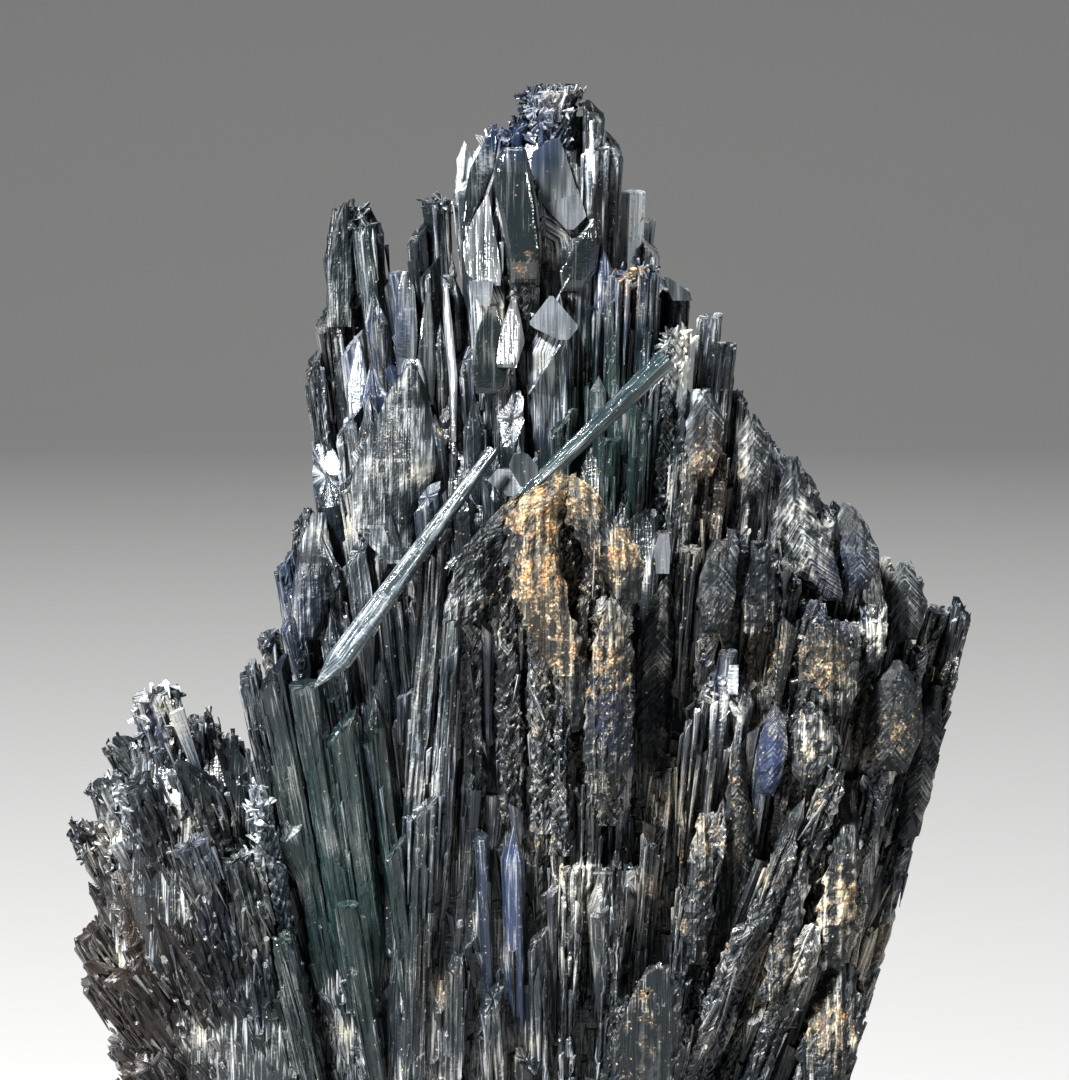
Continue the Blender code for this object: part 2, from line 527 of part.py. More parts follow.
def build():
    """Builds the cluster as one closed solid."""
    clear_scene()
    shape = random.Random(SEED)
    main = bpy.context.scene.collection
    grown = bpy.data.collections.new("grown_crystals")
    ground = bpy.data.collections.new("ground")
    main.children.link(grown)
    main.children.link(ground)

    sheaf = CROWN + UPPER_LEFT + LEFT_SLOPE + FRONT_PANEL + SHOULDER + MID_PANEL + TOWER
    sheaf += RIGHT_SLOPE + RIGHT_FRONT + LOWER_FRONT + LOWER_RIGHT + SLANTING + far_blades(shape)
    for number, blade in enumerate(sheaf):
        mesh = bmesh.new()
        add_blade(mesh, blade, FAN_ROOT, shape)
        as_tool(new_object(f"blade_{number}", mesh, grown))
    for number, blade in enumerate(lobe_blades()):
        mesh = bmesh.new()
        add_blade(mesh, blade, LOBE_ROOT + Vector((0.0, LOBE_ROOT_SPREAD * blade.y, 0.0)), shape)
        as_tool(new_object(f"fibre_{number}", mesh, grown))
    mesh = bmesh.new()
    add_body(mesh, LOBE_BODY_LEVELS)
    as_tool(new_object("lobe_body", mesh, grown))

    mesh = bmesh.new()
    add_body(mesh, BODY_LEVELS)
    cluster = new_object("crystal_cluster", mesh, main)
    boolean(cluster, "grown_together", "UNION", grown)

    mesh = bmesh.new()
    bmesh.ops.create_cube(mesh, size=GROUND_SIZE * MM)
    block = as_tool(new_object("ground_block", mesh, ground))
    block.location.z = -GROUND_SIZE / 2 * MM
    bpy.context.view_layer.update()
    boolean(cluster, "cut_flat", "DIFFERENCE", ground)
    keep_outer_shell(cluster)
    cluster.data.materials.clear()
    cluster.data.materials.append(vivianite())
    for tool in list(grown.objects) + list(ground.objects):
        bpy.data.objects.remove(tool, do_unlink=True)
    print("triangles", len(cluster.data.polygons))


build()
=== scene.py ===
"""The looks of a vivianite crystal cluster.

Long crinkled crystals stand where the solid has its blades and are worked out from the same list of them.
Laths and flakes lie on their faces, plates and leaves on the front, and fine crystals in the crevices.
Lengths are in millimetres until a mesh is written, and the viewer's side is -Y.
"""

import logging
import math
import random
from dataclasses import dataclass, field, replace
from enum import Enum
from typing import Any, Sequence

import bpy
import numpy as np
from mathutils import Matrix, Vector, noise
from mathutils.bvhtree import BVHTree


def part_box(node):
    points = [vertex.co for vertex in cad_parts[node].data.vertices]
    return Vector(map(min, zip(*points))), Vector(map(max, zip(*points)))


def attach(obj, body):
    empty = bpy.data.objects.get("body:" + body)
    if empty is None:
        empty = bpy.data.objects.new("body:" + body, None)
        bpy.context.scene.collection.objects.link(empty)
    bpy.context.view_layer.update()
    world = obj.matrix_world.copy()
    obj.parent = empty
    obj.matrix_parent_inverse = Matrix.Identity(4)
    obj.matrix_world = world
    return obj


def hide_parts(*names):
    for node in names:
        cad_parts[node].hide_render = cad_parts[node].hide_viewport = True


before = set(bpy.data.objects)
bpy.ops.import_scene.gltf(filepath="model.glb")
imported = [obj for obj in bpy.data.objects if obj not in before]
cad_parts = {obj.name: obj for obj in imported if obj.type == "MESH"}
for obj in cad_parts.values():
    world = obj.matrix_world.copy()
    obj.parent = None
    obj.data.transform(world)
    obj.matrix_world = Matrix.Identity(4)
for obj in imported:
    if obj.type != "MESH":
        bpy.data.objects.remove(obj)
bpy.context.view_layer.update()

MM = 0.001
FAN_ROOT = np.array((1.8, 3.0, -64.0))
LOBE_ROOT = np.array((-13.0, 1.0, -2.0))
FOOT_DEPTH = 4.0
ROOT_TAPER = 0.78
POINT_LENGTH = 1.2
ROUND_DROP = 0.62
ROUND_SCALE = 0.6
SEED = 7
BODY = "root"
CAD_NODE = "crystal_cluster"
# The least rise of a crystal's axis that counts, and how far inside its outline an end is measured.
LEAST_RISE = 0.05
INSIDE = 0.98
# How far under a surface a spot is tested, and how far a shade moves the grain across and along.
UNDER = 0.15
SHADE_ACROSS, SHADE_ALONG = 37.0, 91.0

log = logging.getLogger("vivianite")


def table(kind: type, *rows: Sequence[Any]) -> tuple[Any, ...]:
    """Things of one kind, each from a row of its fields."""
    return tuple(kind(*row) for row in rows)


class End(Enum):
    """The form of a crystal's tip."""

    FLAT = "flat"
    LEFT = "left"
    RIGHT = "right"
    FRONT = "front"
    STEEP = "steep"
    POINT = "point"
    ROUND = "round"


FLAT, LEFT, RIGHT, FRONT, STEEP, POINT, ROUND = End

# How much a cut end rises towards +X and towards +Y, in mm for each mm.
CUT_ENDS = {
    FLAT: (0.06, 0.14),
    LEFT: (0.85, 0.30),
    RIGHT: (-0.85, 0.30),
    FRONT: (0.12, 1.70),
    STEEP: (-0.35, 2.30),
}


@dataclass(frozen=True)
class Blade:
    """One crystal: its tip, its section, end, length and turn, and its foot if it leaves the fan."""

    x: float
    y: float
    z: float
    width: float
    thick: float
    end: End = FLAT
    length: float = 90.0
    turn: float = 0.0
    foot: tuple[float, float, float] | None = None


@dataclass(frozen=True)
class Habit:
    """How a crystal is built up.

    Laths: lath is their width, relief how far they sink below the crystal's face, run how long one is before
    the next steps in, ragged how far its tip falls short and bare the share of faces that have none. Flakes:
    flakes is their number on each square millimetre, proud how far they stand out and askew how they lie.
    Surface: ridge, cleft, cross and step are how deep its ridges, clefts, cross-grain and broken steps cut.
    """

    lath: float = 0.5
    relief: float = 0.12
    run: float = 18.0
    ragged: float = 0.5
    bare: float = 0.0
    flakes: float = 0.5
    proud: float = 0.1
    askew: float = 0.03
    ridge: float = 0.0
    cleft: float = 0.0
    cross: float = 0.0
    step: float = 0.0


GLASSY = Habit(lath=0.9, relief=0.05, run=12.0, ragged=0.10, bare=0.8, flakes=0.05, proud=0.05, askew=0.03)
CLEAN = Habit(
    lath=0.34, run=9.0, bare=1.0, flakes=0.16, proud=0.07, askew=0.02,
    ridge=0.12, cleft=0.16, cross=0.03, step=0.06,
)
FLUTED = Habit(
    lath=0.26, run=8.0, bare=1.0, flakes=0.26, proud=0.08, askew=0.02,
    ridge=0.20, cleft=0.26, cross=0.03, step=0.10,
)
SPLINTERY = Habit(
    lath=0.34, relief=0.2, run=8.0, ragged=0.5, bare=0.6, flakes=0.40, proud=0.14, askew=0.05,
    ridge=0.26, cleft=0.34, cross=0.06, step=0.22,
)
SHAGGY = Habit(
    lath=0.20, run=4.0, bare=1.0, flakes=0.22, proud=0.12, askew=0.14,
    ridge=0.22, cleft=0.30, cross=0.24, step=0.22,
)
KNOBBLY = Habit(
    lath=0.20, run=2.4, bare=1.0, flakes=0.12, proud=0.10, askew=0.4,
    ridge=0.12, cleft=0.16, cross=0.38, step=0.20,
)
FIBROUS = Habit(
    lath=0.22, run=2.6, bare=1.0, flakes=1.0, proud=0.20, askew=0.16,
    ridge=0.30, cleft=0.36, cross=0.14, step=0.34,
)
WEATHERED = Habit(
    lath=0.24, run=4.0, bare=1.0, flakes=0.30, proud=0.10, askew=0.06,
    ridge=0.22, cleft=0.34, cross=0.12, step=0.22,
)

CROWN = table(
    Blade,
    (2.0, 5.5, 84.3, 4.4, 4.2, FLAT, 40), (4.9, 5.0, 83.3, 1.7, 3.4, RIGHT, 40),
    (6.1, 4.6, 81.2, 1.7, 3.6, RIGHT, 40), (-0.7, 5.0, 82.2, 2.4, 3.4, LEFT, 40),
    (-2.6, 4.6, 81.2, 2.4, 3.0, LEFT, 40), (-4.3, 5.4, 80.3, 1.1, 1.8, POINT, 30, 20),
    (0.2, 2.6, 80.8, 2.0, 2.4, FRONT, 30, -12), (2.4, 1.9, 80.4, 3.7, 3.4, STEEP, 30, 8),
    (5.0, 2.2, 80.0, 1.7, 2.4, FLAT, 34, -20), (-3.6, 2.6, 78.6, 2.4, 2.8, LEFT, 30, 14),
    (-1.6, 1.6, 77.6, 2.0, 2.6, POINT, 26, -18), (-2.9, -0.2, 76.3, 2.8, 3.0, STEEP, 24, 10),
    (-0.4, -0.3, 74.4, 2.4, 2.6, ROUND, 24, 16), (3.9, 0.4, 75.2, 2.2, 2.4, FRONT, 24, -24),
    (5.4, 0.4, 73.4, 1.8, 2.2, POINT, 24, 14), (1.8, -1.4, 69.9, 3.6, 2.6, POINT, 20, 6),
    (-1.7, -1.8, 68.4, 2.2, 2.6, LEFT, 20, -14), (7.6, 9.2, 76.8, 2.0, 2.2, FLAT, 40, 8),
    (9.0, 8.8, 73.4, 1.4, 2.4, RIGHT, 40), (10.5, 4.6, 70.8, 2.8, 2.6, RIGHT, 34),
)
UPPER_LEFT = table(
    Blade,
    (-12.4, 11.6, 75.5, 4.8, 3.6, ROUND, 60, 6), (-11.3, 9.2, 74.4, 2.3, 2.2, FLAT, 50, -10),
    (-14.0, 9.0, 69.0, 1.9, 3.2, LEFT, 50), (-15.1, 7.4, 65.6, 1.9, 3.2, LEFT, 50),
    (-14.3, 4.2, 59.2, 2.4, 2.8, FRONT, 50, 12), (-6.4, 6.4, 76.3, 2.3, 2.8, FLAT, 40, 12),
    (-7.6, 5.6, 74.6, 1.6, 2.6, LEFT, 40), (-9.1, 4.4, 71.2, 1.4, 1.7, FLAT, 20, 10, (-6.4, 3.6, 50)),
    (-6.7, 3.0, 72.3, 1.8, 2.2, LEFT, 30, -14), (-5.1, 2.0, 71.6, 1.8, 2.2, POINT, 30, 18),
    (-5.9, 0.8, 68.0, 1.6, 2.0, POINT, 26, -20), (-10.7, 5.2, 69.8, 1.8, 2.2, POINT, 40, 16),
    (-12.3, 5.0, 67.0, 2.0, 2.4, LEFT, 40, -8), (-10.8, 2.2, 65.0, 2.2, 2.4, POINT, 34, 10),
    (-12.5, 2.0, 61.8, 2.3, 2.4, LEFT, 34, -14), (-7.8, 0.2, 65.2, 2.3, 2.6, ROUND, 30, 8),
    (-9.5, -2.6, 60.0, 3.2, 2.8, ROUND, 20, -6), (-4.4, -0.4, 66.2, 2.0, 2.4, LEFT, 30, 14),
    (-6.3, -1.8, 61.6, 1.9, 2.2, POINT, 26, -22), (-3.6, -2.4, 63.0, 2.0, 2.4, POINT, 26, 12),
    (-1.0, -3.2, 63.4, 2.2, 2.4, FRONT, 26, -14), (-2.2, -5.4, 59.4, 2.0, 2.2, FRONT, 22, 16),
    (0.2, -5.2, 58.8, 1.8, 2.2, LEFT, 22, -10), (-12.2, -1.4, 58.0, 2.2, 2.4, LEFT, 34, 10),
    (-4.4, -5.4, 57.4, 2.0, 2.4, POINT, 24, -8), (-6.8, -5.2, 57.0, 2.2, 2.2, LEFT, 24, 14),
)
LEFT_SLOPE = table(
    Blade,
    (-15.9, 1.8, 54.6, 2.0, 2.8, LEFT, 60, 6), (-16.9, -0.4, 51.8, 1.8, 2.8, LEFT, 60, -8),
    (-14.2, -3.4, 53.6, 2.2, 2.6, POINT, 44, 12), (-16.2, -3.6, 49.8, 1.8, 2.4, ROUND, 44, -6),
    (-11.6, -5.0, 53.4, 2.2, 2.4, LEFT, 40, 8), (-13.4, -6.4, 48.6, 2.0, 2.4, POINT, 40, -12),
    (-9.4, -7.0, 50.6, 2.2, 2.4, LEFT, 40, 6), (-18.0, -1.8, 46.4, 2.0, 3.0, FLAT, 60, 4),
    (-19.4, -2.8, 44.4, 1.8, 3.2, LEFT, 60),
)
LEFT_PANEL = table(
    Blade,
    (-17.6, -6.2, 45.0, 2.6, 2.6, LEFT, 60, -6), (-15.2, -7.6, 43.4, 2.6, 2.8, FLAT, 60, 5),
    (-12.8, -8.6, 41.6, 2.8, 2.6, LEFT, 60, -4), (-10.4, -8.8, 43.0, 2.2, 2.6, POINT, 60, 8),
    (-9.0, -10.0, 33.0, 1.8, 2.0, LEFT, 50, -8), (-12.2, -10.2, 28.4, 1.9, 1.8, FLAT, 50, 6),
    (-18.6, -7.0, 36.0, 2.0, 2.4, ROUND, 60, -10), (-16.8, -8.6, 26.0, 2.0, 2.2, FLAT, 60, 6),
)
FRONT_PANEL = table(
    Blade,
    (-6.0, -9.2, 54.2, 2.2, 2.6, LEFT, 60, 8, (-10.2, -6.6, 0)),
    (-4.4, -10.2, 51.6, 2.2, 2.6, POINT, 60, -8, (-7.8, -7.6, 0)),
    (-3.4, -9.4, 47.0, 1.4, 2.2, LEFT, 60, 0, (-5.8, -7.2, 0)),
    (-6.8, -10.8, 36.0, 2.2, 1.8, LEFT, 50, 10, (-8.2, -8.6, 0)),
    (-4.6, -10.6, 25.0, 1.8, 1.8, ROUND, 50, -8, (-5.2, -8.8, 0)),
    (-3.0, -10.6, 33.2, 1.1, 1.8, FLAT, 40, 6), (-0.9, -10.9, 33.8, 1.8, 2.0, POINT, 40, -8),
    (-2.2, -11.4, 23.0, 1.9, 2.2, LEFT, 40, 10), (0.1, -11.2, 18.4, 1.8, 2.0, RIGHT, 40, -10),
)
SHOULDER = table(
    Blade,
    (-3.6, -10.4, 53.9, 2.5, 3.0, LEFT, 22, 6, (-3.4, -8.6, 30)),
    (-1.5, -11.6, 55.6, 2.5, 3.2, LEFT, 22, -4, (-0.6, -8.8, 30)),
    (0.6, -12.4, 57.0, 2.6, 3.4, ROUND, 24, 6, (1.4, -8.8, 30)),
    (2.9, -12.2, 58.0, 2.8, 3.6, ROUND, 24, -6, (2.6, -8.6, 30)),
    (5.0, -12.6, 56.2, 2.7, 3.6, RIGHT, 24, 8, (3.8, -8.8, 30)),
    (6.7, -12.2, 54.4, 2.4, 3.4, ROUND, 24, -8, (5.2, -8.8, 30)),
    (1.0, -14.0, 51.6, 2.5, 2.4, ROUND, 16, 10, (1.6, -11.4, 36)),
    (2.7, -13.6, 47.6, 2.2, 2.4, ROUND, 16, -10, (2.6, -11.2, 34)),
    (5.7, -13.8, 49.8, 3.0, 2.6, ROUND, 16, 6, (5.5, -11.2, 34)),
)
MID_PANEL = table(
    Blade,
    (1.4, 0.2, 66.0, 1.9, 2.6, LEFT, 40, 4), (3.1, -0.4, 68.0, 1.8, 2.6, LEFT, 40, -4),
    (4.8, -0.2, 69.2, 1.9, 2.6, FLAT, 40, 3), (6.6, -0.6, 71.4, 2.0, 2.8, FLAT, 40, -3),
    (8.5, 0.0, 71.8, 2.2, 3.0, FLAT, 40, 4), (10.6, 1.6, 70.2, 2.4, 2.8, FLAT, 40, -4),
    (2.6, -2.6, 62.0, 1.8, 2.0, LEFT, 30, 6), (6.0, -3.0, 60.0, 1.8, 2.0, FLAT, 30, -8),
    (8.2, -2.8, 62.8, 1.8, 2.0, RIGHT, 30, 6),
)
TOWER = table(
    Blade,
    (10.6, -3.0, 67.6, 2.3, 2.6, FLAT, 40, 4), (13.0, -0.6, 68.5, 1.9, 2.6, FLAT, 40, -4),
    (14.1, -2.2, 66.6, 1.4, 2.2, FLAT, 40, 6), (12.3, -2.6, 63.4, 1.4, 2.0, FLAT, 40, -6),
    (13.4, -5.0, 61.0, 2.2, 2.4, RIGHT, 40, 4), (11.2, -5.4, 60.2, 2.2, 2.4, FLAT, 40, -4),
    (9.5, -7.6, 53.8, 1.4, 2.0, FLAT, 50, 4),
)
RIGHT_SLOPE = table(
    Blade,
    (15.3, -0.8, 63.2, 1.6, 2.6, RIGHT, 60, 4), (16.0, -4.4, 61.6, 2.3, 2.0, POINT, 40, -6),
    (17.4, 0.0, 60.4, 2.0, 2.8, RIGHT, 60, 6), (18.7, -4.2, 58.8, 2.6, 2.2, RIGHT, 40, -8),
    (20.0, 0.4, 57.6, 2.2, 3.0, RIGHT, 60, 4), (20.9, -4.4, 56.0, 2.4, 2.2, RIGHT, 40, 8),
    (22.3, 0.8, 55.2, 2.1, 3.0, RIGHT, 60, -4), (23.3, -3.4, 53.6, 2.0, 2.4, RIGHT, 50, 6),
    (24.6, 1.4, 52.0, 2.0, 3.0, RIGHT, 60, -4), (26.1, 1.6, 51.1, 2.0, 3.0, RIGHT, 60, 4),
    (27.4, 2.4, 49.9, 1.8, 3.2, FLAT, 60, -4), (24.6, -5.6, 49.0, 1.9, 2.2, POINT, 50, 8),
    (27.8, 0.2, 45.0, 2.0, 2.8, FLAT, 60, -6), (29.4, 5.6, 47.4, 2.0, 3.2, FLAT, 70, 4),
    (31.2, 6.0, 47.9, 1.9, 3.0, RIGHT, 70, -4), (30.2, 2.6, 44.0, 1.9, 2.8, ROUND, 70, 6),
    (25.9, -5.4, 44.2, 2.9, 2.6, ROUND, 50, -8), (28.4, -1.6, 39.0, 2.0, 2.6, RIGHT, 60, 4),
)
RIGHT_FRONT = table(
    Blade,
    (11.4, -7.6, 52.8, 1.8, 2.4, FLAT, 60, -6), (13.1, -8.4, 50.6, 1.8, 2.4, LEFT, 60, 8),
    (14.9, -7.2, 54.0, 2.0, 2.4, RIGHT, 60, -4), (16.8, -7.2, 55.4, 2.0, 2.4, POINT, 60, 6),
    (18.6, -7.8, 52.0, 2.0, 2.4, RIGHT, 60, -8), (20.2, -8.4, 49.2, 2.4, 2.6, ROUND, 50, 8),
    (22.4, -7.8, 47.6, 2.4, 2.6, ROUND, 50, -4), (13.9, -10.2, 45.8, 1.6, 2.0, FLAT, 46, 6),
    (15.3, -10.4, 44.0, 1.4, 2.0, RIGHT, 46, -8), (11.9, -10.2, 43.4, 1.8, 2.2, LEFT, 46, 8),
    (17.0, -10.8, 42.2, 1.7, 2.2, POINT, 46, -6), (19.3, -10.6, 42.4, 2.4, 2.4, ROUND, 46, 10),
    (21.7, -10.2, 40.4, 2.2, 2.4, RIGHT, 46, -8), (9.6, -10.4, 38.6, 1.8, 2.2, LEFT, 46, 6),
    (24.3, -6.6, 36.8, 2.4, 2.6, RIGHT, 46, 8),
)
LOWER_FRONT = table(
    Blade,
    (0.8, -10.6, 44.0, 2.0, 2.4, LEFT, 50, 6), (2.7, -11.2, 39.0, 1.8, 2.4, FLAT, 50, -6),
    (4.8, -11.8, 42.0, 2.0, 2.6, FLAT, 50, 4), (6.9, -11.4, 44.6, 2.0, 2.6, RIGHT, 50, -6),
    (8.6, -11.8, 33.6, 1.6, 2.0, RIGHT, 40, 8), (3.2, -13.0, 31.4, 1.6, 1.8, FLAT, 40, -4),
    (6.2, -13.4, 31.6, 2.0, 2.0, FLAT, 40, 6), (1.0, -12.0, 27.0, 1.6, 1.8, LEFT, 40, -6),
    (11.2, -12.0, 30.0, 2.0, 2.2, RIGHT, 40, 6), (13.6, -12.2, 36.0, 1.8, 2.2, POINT, 46, -8),
)
LOWER_RIGHT = table(
    Blade,
    (21.4, -12.4, 38.0, 2.4, 2.8, ROUND, 50, 8, (8.2, -9.0, 0)),
    (22.4, -11.4, 34.6, 2.2, 2.8, RIGHT, 50, -6, (10.6, -8.4, 0)),
    (18.6, -13.2, 34.4, 2.2, 2.8, POINT, 50, 10, (6.0, -9.6, 0)),
    (23.0, -10.6, 29.2, 2.2, 2.8, ROUND, 50, -8, (12.6, -7.8, 0)),
    (19.8, -13.2, 27.4, 2.4, 2.8, ROUND, 50, 6, (9.8, -9.8, 0)),
    (15.6, -13.8, 28.4, 2.0, 2.6, LEFT, 46, -8, (5.4, -10.2, 0)),
    (23.4, -8.4, 23.8, 2.2, 2.8, RIGHT, 46, 8, (15.8, -6.4, 0)),
    (20.8, -12.0, 20.6, 2.4, 2.6, ROUND, 40, -6, (13.2, -9.2, 0)),
    (8.9, -14.4, 24.8, 2.2, 2.8, ROUND, 40, 10, (5.4, -10.4, 0)),
    (6.7, -14.2, 22.4, 2.0, 2.6, ROUND, 40, -8, (4.0, -10.4, 0)),
    (10.9, -13.8, 21.0, 2.0, 2.8, ROUND, 40, 6, (7.4, -10.2, 0)),
)
SLANTING = table(
    Blade,
    (9.9, -4.2, 65.6, 1.8, 1.2, FLAT, 24, 8, (-2.4, -9.8, 54.2)),
    (-14.2, -12.4, 43.3, 2.2, 1.2, POINT, 24, -6, (-4.4, -8.4, 56.4)),
)

LOBE_RIM = (
    (-21.6, 39.8), (-23.6, 41.2), (-26.2, 42.2), (-28.6, 40.2), (-29.8, 36.8), (-30.9, 33.6),
    (-31.4, 30.0), (-31.0, 26.2), (-30.2, 22.4), (-29.0, 18.4), (-27.4, 14.6), (-25.6, 10.6),
)
LOBE_LAYERS = (
    (-7.6, 0.80, 3.4, 2.6),
    (-5.0, 0.93, 3.4, 3.0),
    (-1.6, 1.0, 3.6, 3.4),
    (2.6, 0.97, 3.6, 3.6),
    (6.4, 0.86, 3.6, 3.2),
    (9.0, 0.70, 3.4, 2.8),
)
LOBE_ENDS = (FLAT, FRONT, FLAT, RIGHT, POINT, FLAT)

FAR_ROWS = (
    (1.00, 30.0, 3.8),
    (0.90, 41.0, 4.0),
    (0.77, 51.0, 3.8),
    (0.62, 60.0, 3.6),
    (0.46, 67.0, 3.4),
    (0.30, 72.0, 3.4),
    (0.17, 76.5, 3.2),
)
FOOT_CENTRE = np.array((3.8, 3.0, 0.0))
FOOT_REACH = (14.2, 10.4)
FAR_FROM, FAR_TO = -14.0, 196.0
FAR_STEP = 4.2
FAR_ENDS = (LEFT, POINT, FLAT, RIGHT, LEFT, FRONT, RIGHT, POINT)
CREST = (
    (-24.0, 34.0), (-18.5, 43.0), (-15.0, 58.0), (-10.0, 68.0), (-4.0, 75.0), (2.0, 78.0),
    (8.0, 72.0), (13.0, 65.0), (20.0, 55.0), (26.0, 49.0), (31.5, 44.0),
)

BODY_LEVELS = (
    (0.0, -14.0, 17.4, -9.2, 12.5),
    (20.0, -15.5, 22.4, -9.8, 14.5),
    (40.0, -15.0, 26.5, -8.2, 13.5),
    (50.0, -12.0, 17.0, -5.2, 11.0),
    (60.0, -9.0, 10.0, -0.8, 8.8),
    (68.0, -4.5, 5.0, 1.5, 7.0),
)
LOBE_BODY_LEVELS = (
    (0.0, -20.0, -8.0, -5.4, 7.0),
    (8.0, -23.6, -10.0, -6.8, 8.0),
    (18.0, -27.4, -13.0, -7.0, 8.2),
    (28.0, -29.4, -16.0, -5.6, 7.4),
    (34.0, -28.8, -18.0, -4.0, 6.0),
    (38.6, -26.2, -20.6, -1.6, 3.6),
)


@dataclass
class Crystal:
    """A blade worked out: its axes, its six-cornered section and the heights of its end, in millimetres."""

    blade: Blade
    tip: np.ndarray
    along: np.ndarray
    wide: np.ndarray
    deep: np.ndarray
    length: float
    corners: np.ndarray
    rim: np.ndarray
    lean: float = 0.0
    taper: float = ROOT_TAPER

    @property
    def floor(self) -> float:
        """How far below the tip the crystal meets the floor."""
        return self.tip[2] / max(self.along[2], LEAST_RISE)

    def scale(self, below: np.ndarray | float) -> np.ndarray | float:
        """The section's size at a distance below the tip, against its size at the tip."""
        return 1.0 - (1.0 - self.taper) * below / self.length

    def share(self, across: np.ndarray, through: np.ndarray) -> np.ndarray:
        """How far out a point of the section lies, from 0 at the middle to 1 on the outline.

        Args:
            across: Distances along the width.
            through: Distances along the thickness.

        Returns:
            The share for each point.
        """
        normals, reach = self.sides()
        flat = np.stack((np.asarray(across), np.asarray(through)), axis=-1)
        return np.max(flat @ normals.T / reach, axis=-1)

    def sides(self) -> tuple[np.ndarray, np.ndarray]:
        """The outward normals of the section's six sides, and how far each side lies from the middle.

        Returns:
            The normals and the distances.
        """
        edges = np.roll(self.corners, -1, axis=0) - self.corners
        normals = np.stack((edges[:, 1], -edges[:, 0]), axis=1)
        normals /= np.linalg.norm(normals, axis=1, keepdims=True)
        return normals, np.sum(normals * self.corners, axis=1)

    def top(self, across: np.ndarray, through: np.ndarray) -> np.ndarray:
        """The height of the end's surface over points of the section, from the tip.

        Args:
            across: Distances along the width.
            through: Distances along the thickness.

        Returns:
            The heights, none above 0.
        """
        if self.blade.end in CUT_ENDS:
            rise_x, rise_y = CUT_ENDS[self.blade.end]
            highest = np.max(rise_x * self.corners[:, 0] + rise_y * self.corners[:, 1])
            return rise_x * np.asarray(across) + rise_y * np.asarray(through) - highest
        share = np.clip(self.share(across, through), 0.0, 1.0)
        drop = float(np.mean(self.rim))
        if self.blade.end is POINT:
            return drop * share
        return drop * np.clip((share - ROUND_SCALE) / (1.0 - ROUND_SCALE), 0.0, 1.0)

    def place(self, across: np.ndarray, through: np.ndarray, height: np.ndarray) -> np.ndarray:
        """Points in space from section coordinates at the tip's size and heights from the tip.

        Args:
            across: Distances along the width.
            through: Distances along the thickness.
            height: Heights from the tip, negative below it.

        Returns:
            The points.
        """
        size = self.scale(-np.minimum(height, 0.0))
        return (
            self.tip
            + np.multiply.outer(height, self.along)
            + np.multiply.outer(across * size, self.wide)
            + np.multiply.outer(through * size, self.deep)
        )

    def holds(self, points: np.ndarray, margin: float) -> np.ndarray:
        """Which points lie inside the crystal.

        Args:
            points: The points.
            margin: How deep a point has to lie.

        Returns:
            True for each point that lies that deep.
        """
        apart = points - self.tip
        height = apart @ self.along
        across, through = apart @ self.wide, apart @ self.deep
        normals, reach = self.sides()
        size = self.scale(np.clip(-height, 0.0, self.length))
        flat = np.stack((across, through), axis=-1)
        side = np.max(flat @ normals.T - np.multiply.outer(size, reach), axis=-1)
        below = height < self.top(across, through) - margin
        return (side < -margin) & below & (height > -self.length + margin)

    def close(self, points: np.ndarray) -> np.ndarray:
        """Which points are near enough that the crystal may hold them."""
        middle = self.tip - self.along * self.length / 2
        return np.linalg.norm(points - middle, axis=1) < self.length / 2 + self.blade.width

    def room(self, point: np.ndarray, spare: float) -> float:
        """How far a lath may rise above a point of the side.

        Args:
            point: The point.
            spare: How far below the end's edge it has to stay.

        Returns:
            The distance, below 0 where there is no room.
        """
        apart = point - self.tip
        height = float(apart @ self.along)
        beside = apart / self.scale(-height)
        return float(self.top(beside @ self.wide * 0.97, beside @ self.deep * 0.97)) - spare - height


def grown(blade: Blade, root: np.ndarray, shape: random.Random) -> Crystal:
    """Works out a blade's axes, section and end, in the same order as the solid has them.

    Args:
        blade: The blade.
        root: The point that it grows away from where it has no foot.
        shape: The source of its small irregularities.

    Returns:
        The crystal.
    """
    tip = np.array((blade.x, blade.y, blade.z))
    foot = np.array(blade.foot) if blade.foot else root
    along = (tip - foot) / np.linalg.norm(tip - foot)
    wide = np.array((1.0, 0.0, 0.0)) - along * along[0]
    wide /= np.linalg.norm(wide)
    deep = np.cross(along, wide)
    turn = math.radians(blade.turn)
    wide = wide * math.cos(turn) + deep * math.sin(turn)
    deep = np.cross(along, wide)
    length = min(blade.length, (blade.z + FOOT_DEPTH) / max(along[2], LEAST_RISE))
    if blade.foot:
        length = min(length, float(np.linalg.norm(tip - foot)) + FOOT_DEPTH)
    half_width, half_thick = blade.width / 2, blade.thick / 2
    left, right = shape.uniform(0.3, 0.8), shape.uniform(0.3, 0.8)
    rise = shape.uniform(-0.35, 0.35)
    corners = np.array((
        (-half_width, rise * half_thick),
        (-half_width * left, -half_thick),
        (half_width * right, -half_thick),
        (half_width, -rise * half_thick),
        (half_width * left, half_thick),
        (-half_width * right, half_thick),
    ))
    lean = 0.0
    rim = np.zeros(len(corners))
    if blade.end is POINT:
        drop = blade.width * POINT_LENGTH
        rim = np.array([-drop * shape.uniform(0.8, 1.3) for _ in corners])
        lean = blade.width * shape.uniform(-0.2, 0.2)
    elif blade.end is ROUND:
        drop = blade.width * ROUND_DROP
        rim = np.array([-drop * shape.uniform(0.85, 1.2) for _ in corners])
    return Crystal(blade, tip, along, wide, deep, length, corners, rim, lean)


def crest_height(x: float) -> float:
    """The height of the sheaf's crest at x."""
    return float(np.interp(x, [point[0] for point in CREST], [point[1] for point in CREST]))


